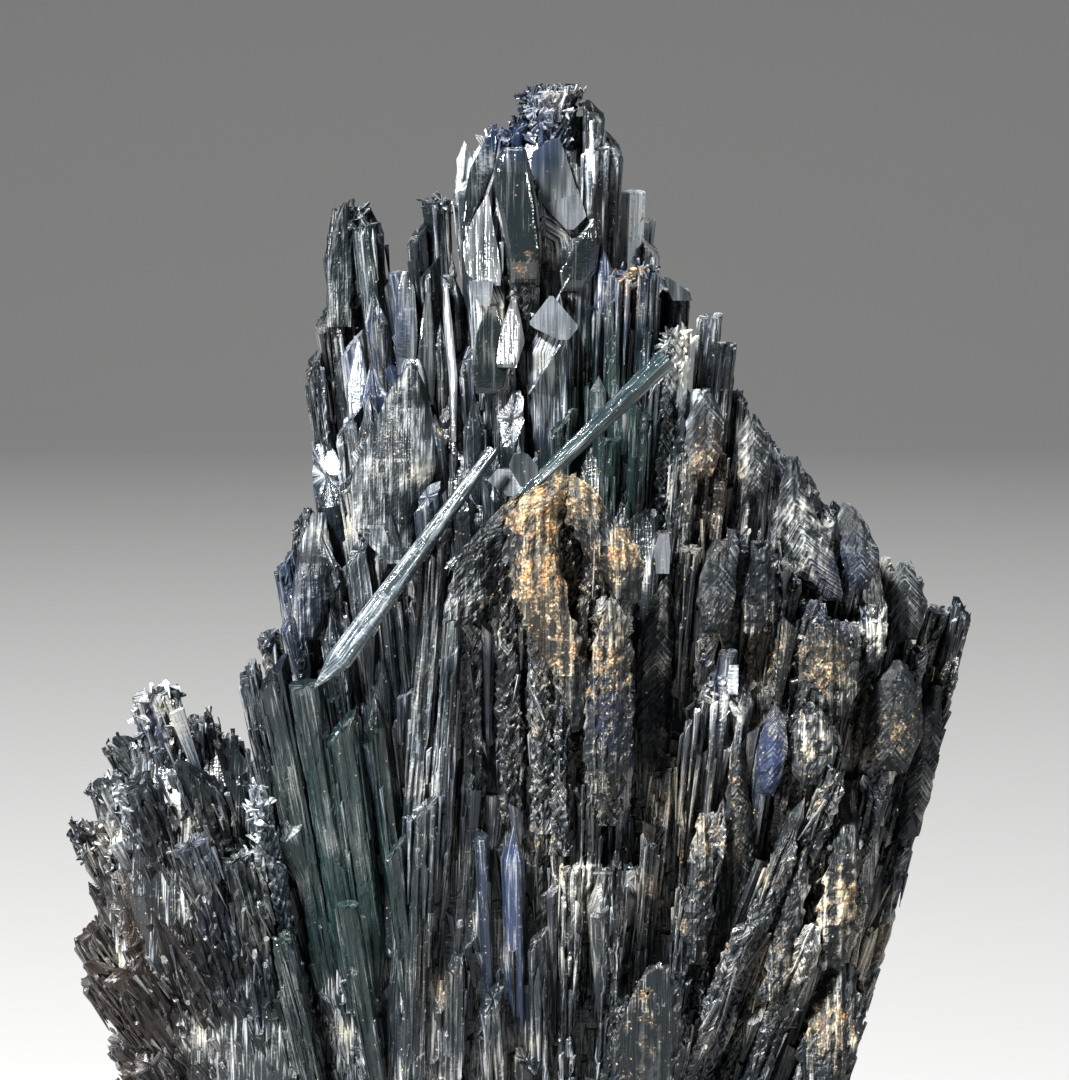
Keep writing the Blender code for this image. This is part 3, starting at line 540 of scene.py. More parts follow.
def far_blades(shape: random.Random) -> list[Blade]:
    """The blades of the far side, in rows that step down and away from the crown.

    Args:
        shape: The source of their small irregularities.

    Returns:
        The blades, row by row.
    """
    blades = []
    for row, (share, height, width) in enumerate(FAR_ROWS):
        spread = (height - FAN_ROOT[2]) / -FAN_ROOT[2]
        arc = math.radians(FAR_TO - FAR_FROM) * share * spread * sum(FOOT_REACH) / 2
        count = round(arc / FAR_STEP)
        for i in range(count):
            angle = math.radians(FAR_FROM + (FAR_TO - FAR_FROM) * (i + 0.5 * (row % 2)) / (count - 0.5))
            angle += shape.uniform(-0.05, 0.05)
            tip_z = height + shape.uniform(-4.5, 4.0)
            reach = share * shape.uniform(0.96, 1.02) * np.array(FOOT_REACH)
            foot = FOOT_CENTRE + np.array((reach[0] * math.cos(angle), reach[1] * math.sin(angle), 0.0))
            tip = FAN_ROOT + (foot - FAN_ROOT) * (tip_z - FAN_ROOT[2]) / -FAN_ROOT[2]
            tip_z = min(tip_z, crest_height(tip[0]) + shape.uniform(-3.0, 0.0))
            tip = FAN_ROOT + (foot - FAN_ROOT) * (tip_z - FAN_ROOT[2]) / -FAN_ROOT[2]
            end = FAR_ENDS[(i * 3 + row) % len(FAR_ENDS)]
            thick = width * shape.uniform(0.75, 1.0)
            turn = shape.uniform(-30, 30)
            blades.append(Blade(tip[0], tip[1], tip[2], width, thick, end, 60, turn))
    return blades


def lobe_blades() -> list[Blade]:
    """The fibres of the lobe, in layers from the viewer's side to the far side.

    Returns:
        The fibres, layer by layer.
    """
    blades = []
    for layer, (depth, reach, width, thick) in enumerate(LOBE_LAYERS):
        for i, (x, z) in enumerate(LOBE_RIM):
            if (i + layer) % 2 and layer != 2:
                continue
            out = reach - 0.02 * ((i * 2 + layer) % 3)
            tip_x = LOBE_ROOT[0] + (x - LOBE_ROOT[0]) * out
            tip_z = LOBE_ROOT[2] + (z - LOBE_ROOT[2]) * out
            end = LOBE_ENDS[(i + 2 * layer) % len(LOBE_ENDS)]
            turn = 18.0 * ((i + layer) % 3 - 1)
            blades.append(Blade(tip_x, depth, tip_z, width, thick, end, 26, turn))
    return blades


@dataclass
class Body:
    """The dark body that the crystals have grown out of, as level outlines from the foot up."""

    levels: Sequence[tuple[float, float, float, float, float]]
    cut: float = 0.22

    def holds(self, points: np.ndarray, margin: float) -> np.ndarray:
        """Which points lie inside the body.

        Args:
            points: The points.
            margin: How deep a point has to lie.

        Returns:
            True for each point that lies that deep.
        """
        table = np.array(self.levels)
        left, right, front, back = (np.interp(points[:, 2], table[:, 0], table[:, i]) for i in range(1, 5))
        x, y = points[:, 0], points[:, 1]
        inside = (x > left + margin) & (x < right - margin) & (y > front + margin) & (y < back - margin)
        corner_x = np.minimum(x - left, right - x) / ((right - left) * self.cut)
        corner_y = np.minimum(y - front, back - y) / ((back - front) * self.cut)
        return inside & (corner_x + corner_y > 1.0 + margin / 3.0) & (points[:, 2] < table[-1, 0] - margin)

    def outline(self, level: int) -> list[tuple[float, float, float]]:
        """The eight corners of one level.

        Args:
            level: Which level, from the foot up.

        Returns:
            The corners, anticlockwise from above.
        """
        z, left, right, front, back = self.levels[level]
        cut_x, cut_y = (right - left) * self.cut, (back - front) * self.cut
        return [
            (left, front + cut_y, z), (left + cut_x, front, z), (right - cut_x, front, z),
            (right, front + cut_y, z), (right, back - cut_y, z), (right - cut_x, back, z),
            (left + cut_x, back, z), (left, back - cut_y, z),
        ]


class Term:
    """A number socket of a node graph, so that sums are written as plain expressions."""

    def __init__(self, graph: "Graph", socket: bpy.types.NodeSocket) -> None:
        """Wraps a socket of a graph."""
        self.graph = graph
        self.socket = socket

    def sum(self, operation: str, *terms: Any) -> "Term":
        """Adds a Math node over terms.

        Args:
            operation: The node's operation.
            terms: Its inputs, numbers or terms.

        Returns:
            The result.
        """
        node = self.graph.node("ShaderNodeMath", {"operation": operation}, dict(enumerate(terms)))
        return Term(self.graph, node.outputs[0])

    def __add__(self, other: Any) -> "Term":
        """self + other."""
        return self.sum("ADD", self, other)

    def __radd__(self, other: Any) -> "Term":
        """other + self."""
        return self.sum("ADD", other, self)

    def __sub__(self, other: Any) -> "Term":
        """self - other."""
        return self.sum("SUBTRACT", self, other)

    def __rsub__(self, other: Any) -> "Term":
        """other - self."""
        return self.sum("SUBTRACT", other, self)

    def __mul__(self, other: Any) -> "Term":
        """self * other."""
        return self.sum("MULTIPLY", self, other)

    def __rmul__(self, other: Any) -> "Term":
        """other * self."""
        return self.sum("MULTIPLY", other, self)

    def step(self, low: float, high: float) -> "Term":
        """Runs smoothly from 0 at low to 1 at high.

        Args:
            low: Where the result starts to rise.
            high: Where it reaches 1.

        Returns:
            The result.
        """
        node = self.graph.node(
            "ShaderNodeMapRange",
            {"interpolation_type": "SMOOTHSTEP", "clamp": True},
            {"Value": self, "From Min": low, "From Max": high, "To Min": 0.0, "To Max": 1.0},
        )
        return Term(self.graph, node.outputs[0])

    def clamped(self) -> "Term":
        """The value held between 0 and 1."""
        node = self.graph.node("ShaderNodeClamp", {}, {"Value": self})
        return Term(self.graph, node.outputs[0])


class Graph:
    """A node tree that is being built."""

    def __init__(self, tree: bpy.types.NodeTree) -> None:
        """Starts on an empty tree."""
        self.tree = tree
        self.tree.nodes.clear()

    def node(self, kind: str, settings: dict[str, Any], inputs: dict[Any, Any]) -> bpy.types.Node:
        """Adds a node.

        Args:
            kind: The node's type.
            settings: Its properties, set before its sockets.
            inputs: Numbers, colours, sockets, terms or nodes for its inputs, by name or place.

        Returns:
            The node.
        """
        node = self.tree.nodes.new(kind)
        for name, setting in settings.items():
            setattr(node, name, setting)
        for name, source in inputs.items():
            target = node.inputs[name]
            if isinstance(source, Term):
                source = source.socket
            if isinstance(source, bpy.types.NodeSocket):
                self.tree.links.new(source, target)
            else:
                target.default_value = source
        return node

    def term(self, socket: bpy.types.NodeSocket) -> Term:
        """A socket as a term for sums."""
        return Term(self, socket)

    def vector(self, operation: str, inputs: dict[Any, Any]) -> bpy.types.NodeSocket:
        """The result of a Vector Math node."""
        return self.node("ShaderNodeVectorMath", {"operation": operation}, inputs).outputs[0]


@dataclass(frozen=True)
class Tone:
    """One colour of the mineral as a linear colour."""

    red: float
    green: float
    blue: float

    @property
    def rgba(self) -> tuple[float, float, float, float]:
        """The colour with full opacity."""
        return (self.red, self.green, self.blue, 1.0)


class Dye(Enum):
    """What can colour a patch of the cluster."""

    OCHRE = "ochre"
    # Frosted whitening, partly painted glints.
    FROST = "frost"
    BLUE = "blue"
    GREEN = "green"
    BROWN = "brown"


OCHRE, FROST, BLUE, GREEN, BROWN = Dye


@dataclass(frozen=True)
class Patch:
    """A soft-edged patch of the surface: its middle and reach, how strong and how tall it is."""

    x: float
    y: float
    z: float
    reach: float
    amount: float = 1.0
    tall: float = 1.0

    def shares(self, points: np.ndarray) -> np.ndarray:
        """How far out each point lies, 0 at the patch's middle and 1 at its reach."""
        apart = (points - np.array((self.x, self.y, self.z))) / (1.0, 1.6, self.tall)
        return np.linalg.norm(apart, axis=1) / self.reach

    def weights(self, points: np.ndarray) -> np.ndarray:
        """How strongly the patch colours each point, from 0 to its amount."""
        share = np.clip(1.25 - self.shares(points), 0.0, 1.0)
        return self.amount * share * share * (3.0 - 2.0 * share)


# The patches of each dye.
PATCHES = {
    OCHRE: table(
        Patch,
        (0.8, -13.4, 55.6, 2.8, 1.1), (6.8, -13.2, 52.6, 2.6, 1.1), (3.6, -13.8, 56.8, 3.0, 0.8),
        (1.2, -14.6, 50.4, 3.4, 0.72, 1.3), (2.4, -14.4, 46.4, 2.4, 0.6), (5.8, -14.6, 45.0, 2.6, 0.5, 1.8),
        (16.0, -10.0, 38.0, 12.0, 0.26, 1.8), (3.0, -12.0, 36.0, 8.0, 0.20, 2.0),
        (20.0, -8.0, 24.0, 8.0, 0.30, 2.0), (-5.5, -2.0, 60.4, 0.9, 1.0), (7.2, -1.5, 71.6, 1.2, 1.0),
        (0.2, -1.2, 72.0, 1.7, 0.65), (20.5, -10.0, 45.0, 3.0, 0.65), (21.0, -11.2, 43.0, 1.0, 1.0),
        (22.0, -10.4, 44.6, 0.8, 1.0), (18.6, -11.4, 38.4, 2.6, 0.5), (13.0, -6.4, 57.0, 2.6, 0.4, 1.6),
        (25.6, -6.8, 40.4, 2.6, 0.5, 1.3), (20.6, -13.2, 20.0, 3.4, 0.55),
        (21.6, -12.6, 30.0, 3.4, 0.45, 1.6), (17.4, -13.6, 26.0, 2.6, 0.4),
        (8.0, -15.0, 19.6, 3.2, 0.35, 1.4), (8.3, -15.0, 22.8, 0.7, 1.0), (12.0, -14.2, 21.5, 0.7, 1.0),
        (10.7, -13.2, 27.2, 0.8, 1.0), (-13.4, -10.6, 22.0, 0.9, 0.8, 6.0),
        (-17.6, -9.4, 19.0, 1.6, 0.45, 2.5), (-6.0, -11.2, 24.0, 2.6, 0.3, 2.0),
        (12.4, -9.6, 47.0, 2.6, 0.3, 1.6), (15.2, -11.4, 35.0, 2.6, 0.35, 2.0),
        (29.6, 2.0, 43.0, 3.0, 0.25, 1.6), (18.0, 14.0, 30.0, 7.0, 0.35, 1.6),
        (-6.0, 17.0, 40.0, 6.0, 0.35, 1.6),
    ),
    # Frosted, whitened patches, partly painted glints.
    FROST: table(
        Patch,
        (7.6, 8.6, 74.6, 2.2, 0.9, 1.6), (-4.6, 4.0, 78.4, 1.6, 0.9, 1.6),
        (-12.6, 2.0, 61.0, 4.0, 0.35, 1.4), (15.8, -8.0, 59.0, 2.2, 0.5, 1.6),
        (11.2, -3.0, 61.6, 1.7, 0.95, 4.0), (-18.8, -7.6, 36.0, 1.9, 0.6, 4.0),
        (-25.4, -1.0, 42.2, 3.4, 0.5), (-28.6, -4.6, 33.4, 2.6, 0.6, 1.2), (-13.0, -12.6, 45.0, 3.0, 0.6),
        (0.0, -6.0, 58.0, 1.9, 1.0), (-13.8, 2.6, 57.6, 1.7, 1.0), (-6.0, 1.0, 68.0, 4.4, 0.35),
        (13.6, -11.4, 42.0, 2.6, 0.8, 1.4), (19.3, -11.8, 39.6, 2.0, 0.65),
        (24.0, -7.0, 47.0, 2.2, 0.3, 1.4), (5.0, 2.0, 79.5, 1.8, 0.8, 2.0),
        (-2.9, 2.0, 78.6, 1.6, 0.8, 1.6), (19.4, -7.8, 54.0, 3.0, 0.5, 1.6),
        (-12.0, -4.0, 50.0, 5.0, 0.3, 1.4), (-9.0, -12.0, 49.0, 3.0, 0.6), (4.6, -13.4, 30.0, 2.6, 0.6),
        (21.0, -13.0, 27.0, 4.0, 0.5, 2.0), (-7.0, -11.0, 40.0, 2.2, 0.5, 4.0),
        (9.6, -9.2, 47.0, 1.0, 0.7, 5.0), (2.0, 14.0, 60.0, 8.0, 0.45, 1.4),
    ),
    BLUE: table(
        Patch,
        (6.4, -1.0, 71.4, 2.6, 0.8), (-0.6, 1.6, 81.0, 4.2, 0.7), (-8.3, 3.0, 68.0, 1.8, 1.0, 2.0),
        (-3.1, -11.8, 31.0, 1.0, 1.0, 3.0), (-0.9, -12.2, 31.0, 1.4, 1.0, 2.4),
        (17.0, -12.0, 38.6, 1.6, 1.0, 2.2), (13.6, -11.4, 42.0, 2.4, 0.6, 1.6),
        (-26.0, -2.0, 39.5, 2.4, 0.7), (-17.0, -3.0, 48.0, 4.0, 0.5, 1.4),
        (-10.0, 4.0, 63.0, 4.0, 0.5, 1.4), (22.0, -6.0, 50.0, 3.0, 0.5, 1.4),
        (6.0, -14.0, 42.0, 2.0, 0.5, 2.0), (10.0, 16.0, 50.0, 8.0, 0.5, 1.4),
    ),
    GREEN: table(
        Patch,
        (-13.0, -9.4, 30.0, 6.0, 0.7, 2.4), (5.0, -3.0, 60.0, 5.0, 0.7, 2.0),
        (-12.0, 6.0, 71.0, 2.6, 0.6, 1.8), (-14.0, 12.0, 40.0, 8.0, 0.5, 1.6),
    ),
    BROWN: table(
        Patch,
        (-28.0, -2.0, 20.0, 8.0, 0.75, 1.8), (13.2, -6.0, 57.0, 2.4, 0.8, 2.0),
        (2.4, -14.0, 50.0, 4.6, 0.6, 1.2), (24.0, 10.0, 24.0, 7.0, 0.5, 1.4),
    ),
}

# The places of a Mix node's sockets for colours.
MIX_AMOUNT, MIX_UNDER, MIX_OVER, MIX_RESULT = 0, 6, 7, 2


@dataclass(frozen=True)
class MineralFinish:
    """Glassy blue-black crystal with striae, frosted breaks, ochre stain and gold specks.

    Its grooves get painted shade, its crests painted highlights, and its frost is partly painted glints.
    """

    name: str = "vivianite_crystal"
    deep: Tone = Tone(0.003, 0.005, 0.0065)
    slate: Tone = Tone(0.0155, 0.022, 0.029)
    sea: Tone = Tone(0.005, 0.018, 0.016)
    ink: Tone = Tone(0.007, 0.017, 0.056)
    umber: Tone = Tone(0.022, 0.013, 0.008)
    silver: Tone = Tone(0.47, 0.53, 0.59)
    cream: Tone = Tone(0.50, 0.44, 0.31)
    clay: Tone = Tone(0.35, 0.25, 0.13)
    rust: Tone = Tone(0.29, 0.135, 0.045)
    dust: Tone = Tone(0.085, 0.070, 0.048)
    gold: Tone = Tone(0.56, 0.40, 0.17)
    gloss: float = 0.15
    ior: float = 1.62
    relief: float = 0.00022
    clear: float = 0.0
    fleck: float = 1.0
    sheen: float = 0.28

    def mixed(self, graph: Graph, amount: Term, under: Any, over: Any) -> bpy.types.NodeSocket:
        """Lays one colour over another.

        Args:
            graph: The material's graph.
            amount: How much of the upper colour shows.
            under: The colour below, a tone or a socket.
            over: The colour above, a tone or a socket.

        Returns:
            The mixed colour.
        """
        under, over = (colour.rgba if isinstance(colour, Tone) else colour for colour in (under, over))
        inputs = {MIX_AMOUNT: amount, MIX_UNDER: under, MIX_OVER: over}
        return graph.node("ShaderNodeMix", {"data_type": "RGBA"}, inputs).outputs[MIX_RESULT]

    def mark(self, graph: Graph, name: str) -> Term:
        """A number that the mesh carries at each point."""
        node = graph.node("ShaderNodeAttribute", {"attribute_type": "GEOMETRY", "attribute_name": name}, {})
        return graph.term(node.outputs["Fac"])

    def noise(self, graph: Graph, place: bpy.types.NodeSocket, size: float, detail: float = 2.0) -> Term:
        """Cloudy noise between 0 and 1, at a scale and with so many finer layers."""
        node = graph.node("ShaderNodeTexNoise", {}, {"Vector": place, "Scale": size, "Detail": detail})
        return graph.term(node.outputs[0])

    def material(self) -> bpy.types.Material:
        """Builds the material.

        Returns:
            The material.
        """
        material = bpy.data.materials.new(self.name)
        material.use_nodes = True
        graph = Graph(material.node_tree)
        place = graph.node("ShaderNodeTexCoord", {}, {}).outputs["Object"]
        grain = graph.node("ShaderNodeUVMap", {"uv_map": "grain"}, {}).outputs[0]
        striae, hair, cleft = (
            self.noise(graph, graph.vector("MULTIPLY", {0: grain, 1: stretch}), 1.0)
            for stretch in ((2.6, 0.16, 1.0), (8.0, 0.40, 1.0), (1.6, 5.5, 1.0))
        )
        cloud = self.noise(graph, place, 230.0)
        mottle = self.noise(graph, place, 1500.0, 3.0)
        grit = self.noise(graph, place, 5200.0)
        tint = self.mark(graph, "tint")
        # The frost dye is partly frosted breaks and partly painted glints.
        ochre, frost = self.mark(graph, "ochre"), self.mark(graph, "frost")

        pale = (((striae - 0.5) * 1.8 + (cloud - 0.5) * 1.4) * self.fleck + tint * 0.6).step(0.10, 0.80)
        colour = self.mixed(graph, pale, self.deep, self.slate)
        greened = (self.mark(graph, "green") * (0.25 + striae)).clamped()
        colour = self.mixed(graph, greened, colour, self.sea)
        inked = ((self.mark(graph, "blue") + (tint * cloud - 0.29)) * (0.3 + striae)).clamped()
        colour = self.mixed(graph, inked, colour, self.ink)
        colour = self.mixed(graph, (self.mark(graph, "brown") * 0.85).clamped(), colour, self.umber)
        # How far out of a groove a point lies. Below, the grooves get painted shade and the crests painted
        # highlights.
        crest = 1.0 - self.mark(graph, "hollow")
        streak = striae * 0.40 + hair * 0.60 + frost * 0.16 + (cloud - 0.5) * 0.5 + tint * 0.08
        streak = streak.step(0.545, 0.715)
        broken = cleft * 0.4 + grit * 0.3 + mottle * 0.3 + frost * 0.20 + (cloud - 0.5) * 0.3
        broken = broken.step(0.58, 0.72)
        whitened = streak * (0.40 + frost * 0.45) + broken * (0.26 + frost * 0.5)
        # Painted shade: the white streaks fade in the grooves.
        whitened = whitened * crest * (crest * 0.8 + 0.5)
        # Painted highlight on the crests and painted shade in the grooves.
        whitened = whitened + (crest * 1.2 - 0.85) * (frost * 0.4 + ochre * 0.25 + 0.03)
        chips = (grit * 0.65 + hair * 0.35 + (cloud - 0.5) * 0.4).step(0.555, 0.645) * crest
        whitened = whitened + chips * (ochre * 0.55 + 0.07)
        # More white on frosted crests: frosted breaks, partly painted glints.
        whitened = (whitened + frost * frost * crest * (0.1 + broken * 0.3)).clamped()
        warm = self.mixed(graph, (ochre * 1.8 + cloud * 2.2 - 0.95).clamped(), self.silver, self.cream)
        colour = self.mixed(graph, whitened * self.fleck, colour, warm)
        veil = (ochre * 1.1 + (mottle - 0.5) * 1.2 + (cleft - 0.5) * 0.8).step(0.35, 1.10)
        # The dust fades in the grooves as painted shade.
        colour = self.mixed(graph, veil * (crest * 0.6 + 0.3) * self.fleck, colour, self.dust)
        stained = ochre * 0.85 + (mottle - 0.5) * 2.0 + (grit - 0.5) * 1.8 + (cloud - 0.5) * 1.0
        stained = stained.step(0.45, 1.15) * (ochre * 6.0).clamped() * self.fleck
        # The stain fades in the grooves as painted shade.
        stained = stained * (crest * 1.3 + 0.1).clamped()
        earth = self.mixed(graph, (cloud * 1.1 + mottle * 0.7).step(0.84, 1.10), self.clay, self.rust)
        # Cream on the stain where the bump stands highest: partly its cream tone, partly painted highlight.
        earth = self.mixed(graph, (cleft * 0.6 + grit * 0.6).step(0.60, 0.78) * 0.7, earth, self.cream)
        # Painted shade: umber in the low spots of the bump.
        pit_shade = (hair * 0.3 + grit * 0.5 + mottle * 0.2).step(0.50, 0.36)
        earth = self.mixed(graph, pit_shade * 0.9, earth, self.umber)
        colour = self.mixed(graph, stained, colour, earth)
        # Painted shade: the grooves darken towards the deep tone.
        colour = self.mixed(graph, (1.1 - crest * 1.6).clamped() * 0.85, colour, self.deep)
        cells = graph.node("ShaderNodeTexVoronoi", {}, {"Vector": place, "Scale": 1900.0})
        speck = (graph.term(cells.outputs["Distance"]) * -1.0).step(-0.15, -0.08)
        picked = graph.node("ShaderNodeSeparateColor", {}, {0: cells.outputs["Color"]})
        speck = speck * graph.term(picked.outputs[0]).step(0.68, 0.72)
        colour = self.mixed(graph, speck * 0.6 * self.fleck, colour, self.gold)

        dull = ((striae - 0.4) * 0.5 + whitened * 0.15 - crest * 0.1 + 0.1) * self.fleck
        dull = (dull + stained * 0.45 + self.gloss).clamped()
        height = striae * 0.35 + hair * 0.28 + cleft * 0.12 + mottle * (0.10 + stained * 0.2) + grit * 0.1
        bump = graph.node("ShaderNodeBump", {}, {"Strength": 0.9, "Distance": self.relief, "Height": height})
        shader = graph.node("ShaderNodeBsdfPrincipled", {}, {
            "Base Color": colour,
            "Roughness": dull,
            "IOR": self.ior,
            "Specular IOR Level": self.sheen,
            "Transmission Weight": self.clear,
            "Normal": bump.outputs[0],
        })
        graph.node("ShaderNodeOutputMaterial", {}, {"Surface": shader.outputs[0]})
        return material


def plain_mesh(name: str, points: Sequence[Any], faces: Sequence[Sequence[int]]) -> bpy.types.Mesh:
    """Makes a mesh from points and faces.

    Args:
        name: The mesh's name.
        points: The points.
        faces: The faces as lists of point numbers, anticlockwise from outside.

    Returns:
        The mesh.
    """
    mesh = bpy.data.meshes.new(name)
    mesh.from_pydata([tuple(point) for point in points], [], [tuple(face) for face in faces])
    mesh.update()
    return mesh


def marked(mesh: bpy.types.Mesh, name: str, kind: str, domain: str, values: Any) -> None:
    """Writes an attribute of a mesh.

    Args:
        mesh: The mesh.
        name: The attribute's name.
        kind: Its data type.
        domain: What it is kept on, POINT or CORNER.
        values: Its values in the mesh's order.
    """
    layer = mesh.attributes.new(name, kind, domain)
    numbers = np.array(values, dtype=np.int32 if kind == "INT" else np.float32)
    layer.data.foreach_set("value" if kind in ("INT", "FLOAT") else "vector", numbers.ravel())


def places(mesh: bpy.types.Mesh) -> np.ndarray:
    """The points of a mesh, one in each row.

    Args:
        mesh: The mesh.

    Returns:
        A row for each point.
    """
    flat = np.empty(len(mesh.vertices) * 3, dtype=np.float32)
    mesh.vertices.foreach_get("co", flat)
    return flat.reshape(-1, 3)


class LathForm(Enum):
    """The forms of a lath, by how far its end falls at its left, right, outer and inner edge."""

    SQUARE = (0.0, 0.12, 0.10, 0.0)
    LEFTWARD = (1.0, 0.0, 0.15, 0.0)
    RIGHTWARD = (0.0, 1.0, 0.15, 0.0)
    SLOPED = (0.1, 0.0, 1.2, 0.0)
    POINTED = (1.3, 1.2, 1.1, 1.1)
    STEPPED = (0.55, 0.0, 0.5, 0.0)


LATH_FORMS = tuple(LathForm)


@dataclass
class LathShapes:
    """The small closed prisms that the laths and chips are copies of, hidden from the scene."""

    section: Sequence[tuple[float, float]] = (
        (-0.26, 0.04), (0.20, 0.0), (0.5, 0.30), (0.28, 1.0), (-0.30, 1.0), (-0.5, 0.36),
    )
    foot: float = 0.3

    def build(self) -> bpy.types.Collection:
        """Makes one object for each form.

        Returns:
            The collection that holds them, in the order of LATH_FORMS.
        """
        shapes = bpy.data.collections.new("lath_shapes")
        for number, form in enumerate(LATH_FORMS):
            shapes.objects.link(self.shape(number, form))
        return shapes

    def shape(self, number: int, form: LathForm) -> bpy.types.Object:
        """Makes one form: its end at 0, its foot at -1, its outer face at y = 0.

        Args:
            number: Its place in the order.
            form: The form.

        Returns:
            The object.
        """
        left, right, outer, inner = form.value
        sides = len(self.section)
        points = [(x * self.foot, 0.5 + y * self.foot, -1.0) for x, y in self.section]
        points += [(x, y, 0.0) for x, y in self.section]
        points.append((0.05, 0.45, 0.0))
        rim = [left * (0.5 - x) + right * (0.5 + x) + outer * (1.0 - y) + inner * y for x, y in self.section]
        rim.append(0.0 if form is LathForm.POINTED else sum(rim) / sides)
        falls = [0.0] * sides + [fall - min(rim) for fall in rim]
        faces = [list(reversed(range(sides)))]
        faces += [(i, (i + 1) % sides, sides + (i + 1) % sides, sides + i) for i in range(sides)]
        faces += [(sides + i, sides + (i + 1) % sides, 2 * sides) for i in range(sides)]
        mesh = plain_mesh(f"lath_{number}", points, faces)
        marked(mesh, "fall", "FLOAT", "POINT", falls)
        round_trip = np.cumsum([0.0] + [
            math.dist(self.section[i], self.section[(i + 1) % sides]) for i in range(sides)
        ])
        values = []
        for loop in mesh.loops:
            index = loop.vertex_index
            if index == 2 * sides:
                values.append((0.5, 0.3, 0.0))
            else:
                values.append((float(round_trip[index % sides]), -1.0 if index < sides else 0.0, 0.0))
        marked(mesh, "wrap", "FLOAT_VECTOR", "CORNER", values)
        return bpy.data.objects.new(f"lath_{number}", mesh)


@dataclass
class Lath:
    """One lath or flake.

    place is the middle of its outer face at its end, along the way it grew and inward the way into the
    crystal. size is its width, depth and length, form its place in LATH_FORMS, tint its shade and owner its
    crystal's number.
    """

    place: np.ndarray
    along: np.ndarray
    inward: np.ndarray
    size: tuple[float, float, float]
    form: int
    tint: float
    owner: int

    @classmethod
    def loose(
        cls,
        rng: np.random.Generator,
        place: np.ndarray,
        axes: tuple[np.ndarray, np.ndarray],
        size: tuple[float, float, float],
        owner: int,
    ) -> "Lath":
        """A lath of any form and shade.

        Args:
            rng: The source of chance.
            place: Its place.
            axes: The way it grew and the way into the crystal.
            size: Its width, depth and length.
            owner: Its crystal's number.

        Returns:
            The lath.
        """
        return cls(place, *axes, size, int(rng.integers(len(LATH_FORMS))), float(rng.random()), owner)


def column(laths: Sequence[Lath], name: str) -> np.ndarray:
    """One field of every lath, in order."""
    return np.array([getattr(lath, name) for lath in laths])


def squared(along: np.ndarray, inward: np.ndarray) -> tuple[np.ndarray, np.ndarray]:
    """Two axes at length 1, the second turned square to the first.

    Args:
        along: The first axis.
        inward: The second axis.

    Returns:
        The two axes.
    """
    along = along / np.linalg.norm(along)
    inward = inward - along * float(inward @ along)
    return along, inward / np.linalg.norm(inward)


def lath_points(name: str, laths: Sequence[Lath]) -> bpy.types.Mesh:
    """A mesh of bare points in metres that carries each lath's measures as attributes.

    Args:
        name: The mesh's name.
        laths: The laths.

    Returns:
        The mesh.
    """
    mesh = plain_mesh(name, column(laths, "place") * MM, [])
    for label, unit in (("along", 1.0), ("inward", 1.0), ("size", MM)):
        marked(mesh, label, "FLOAT_VECTOR", "POINT", column(laths, label) * unit)
    marked(mesh, "form", "INT", "POINT", column(laths, "form"))
    marked(mesh, "tint", "FLOAT", "POINT", column(laths, "tint"))
    return mesh


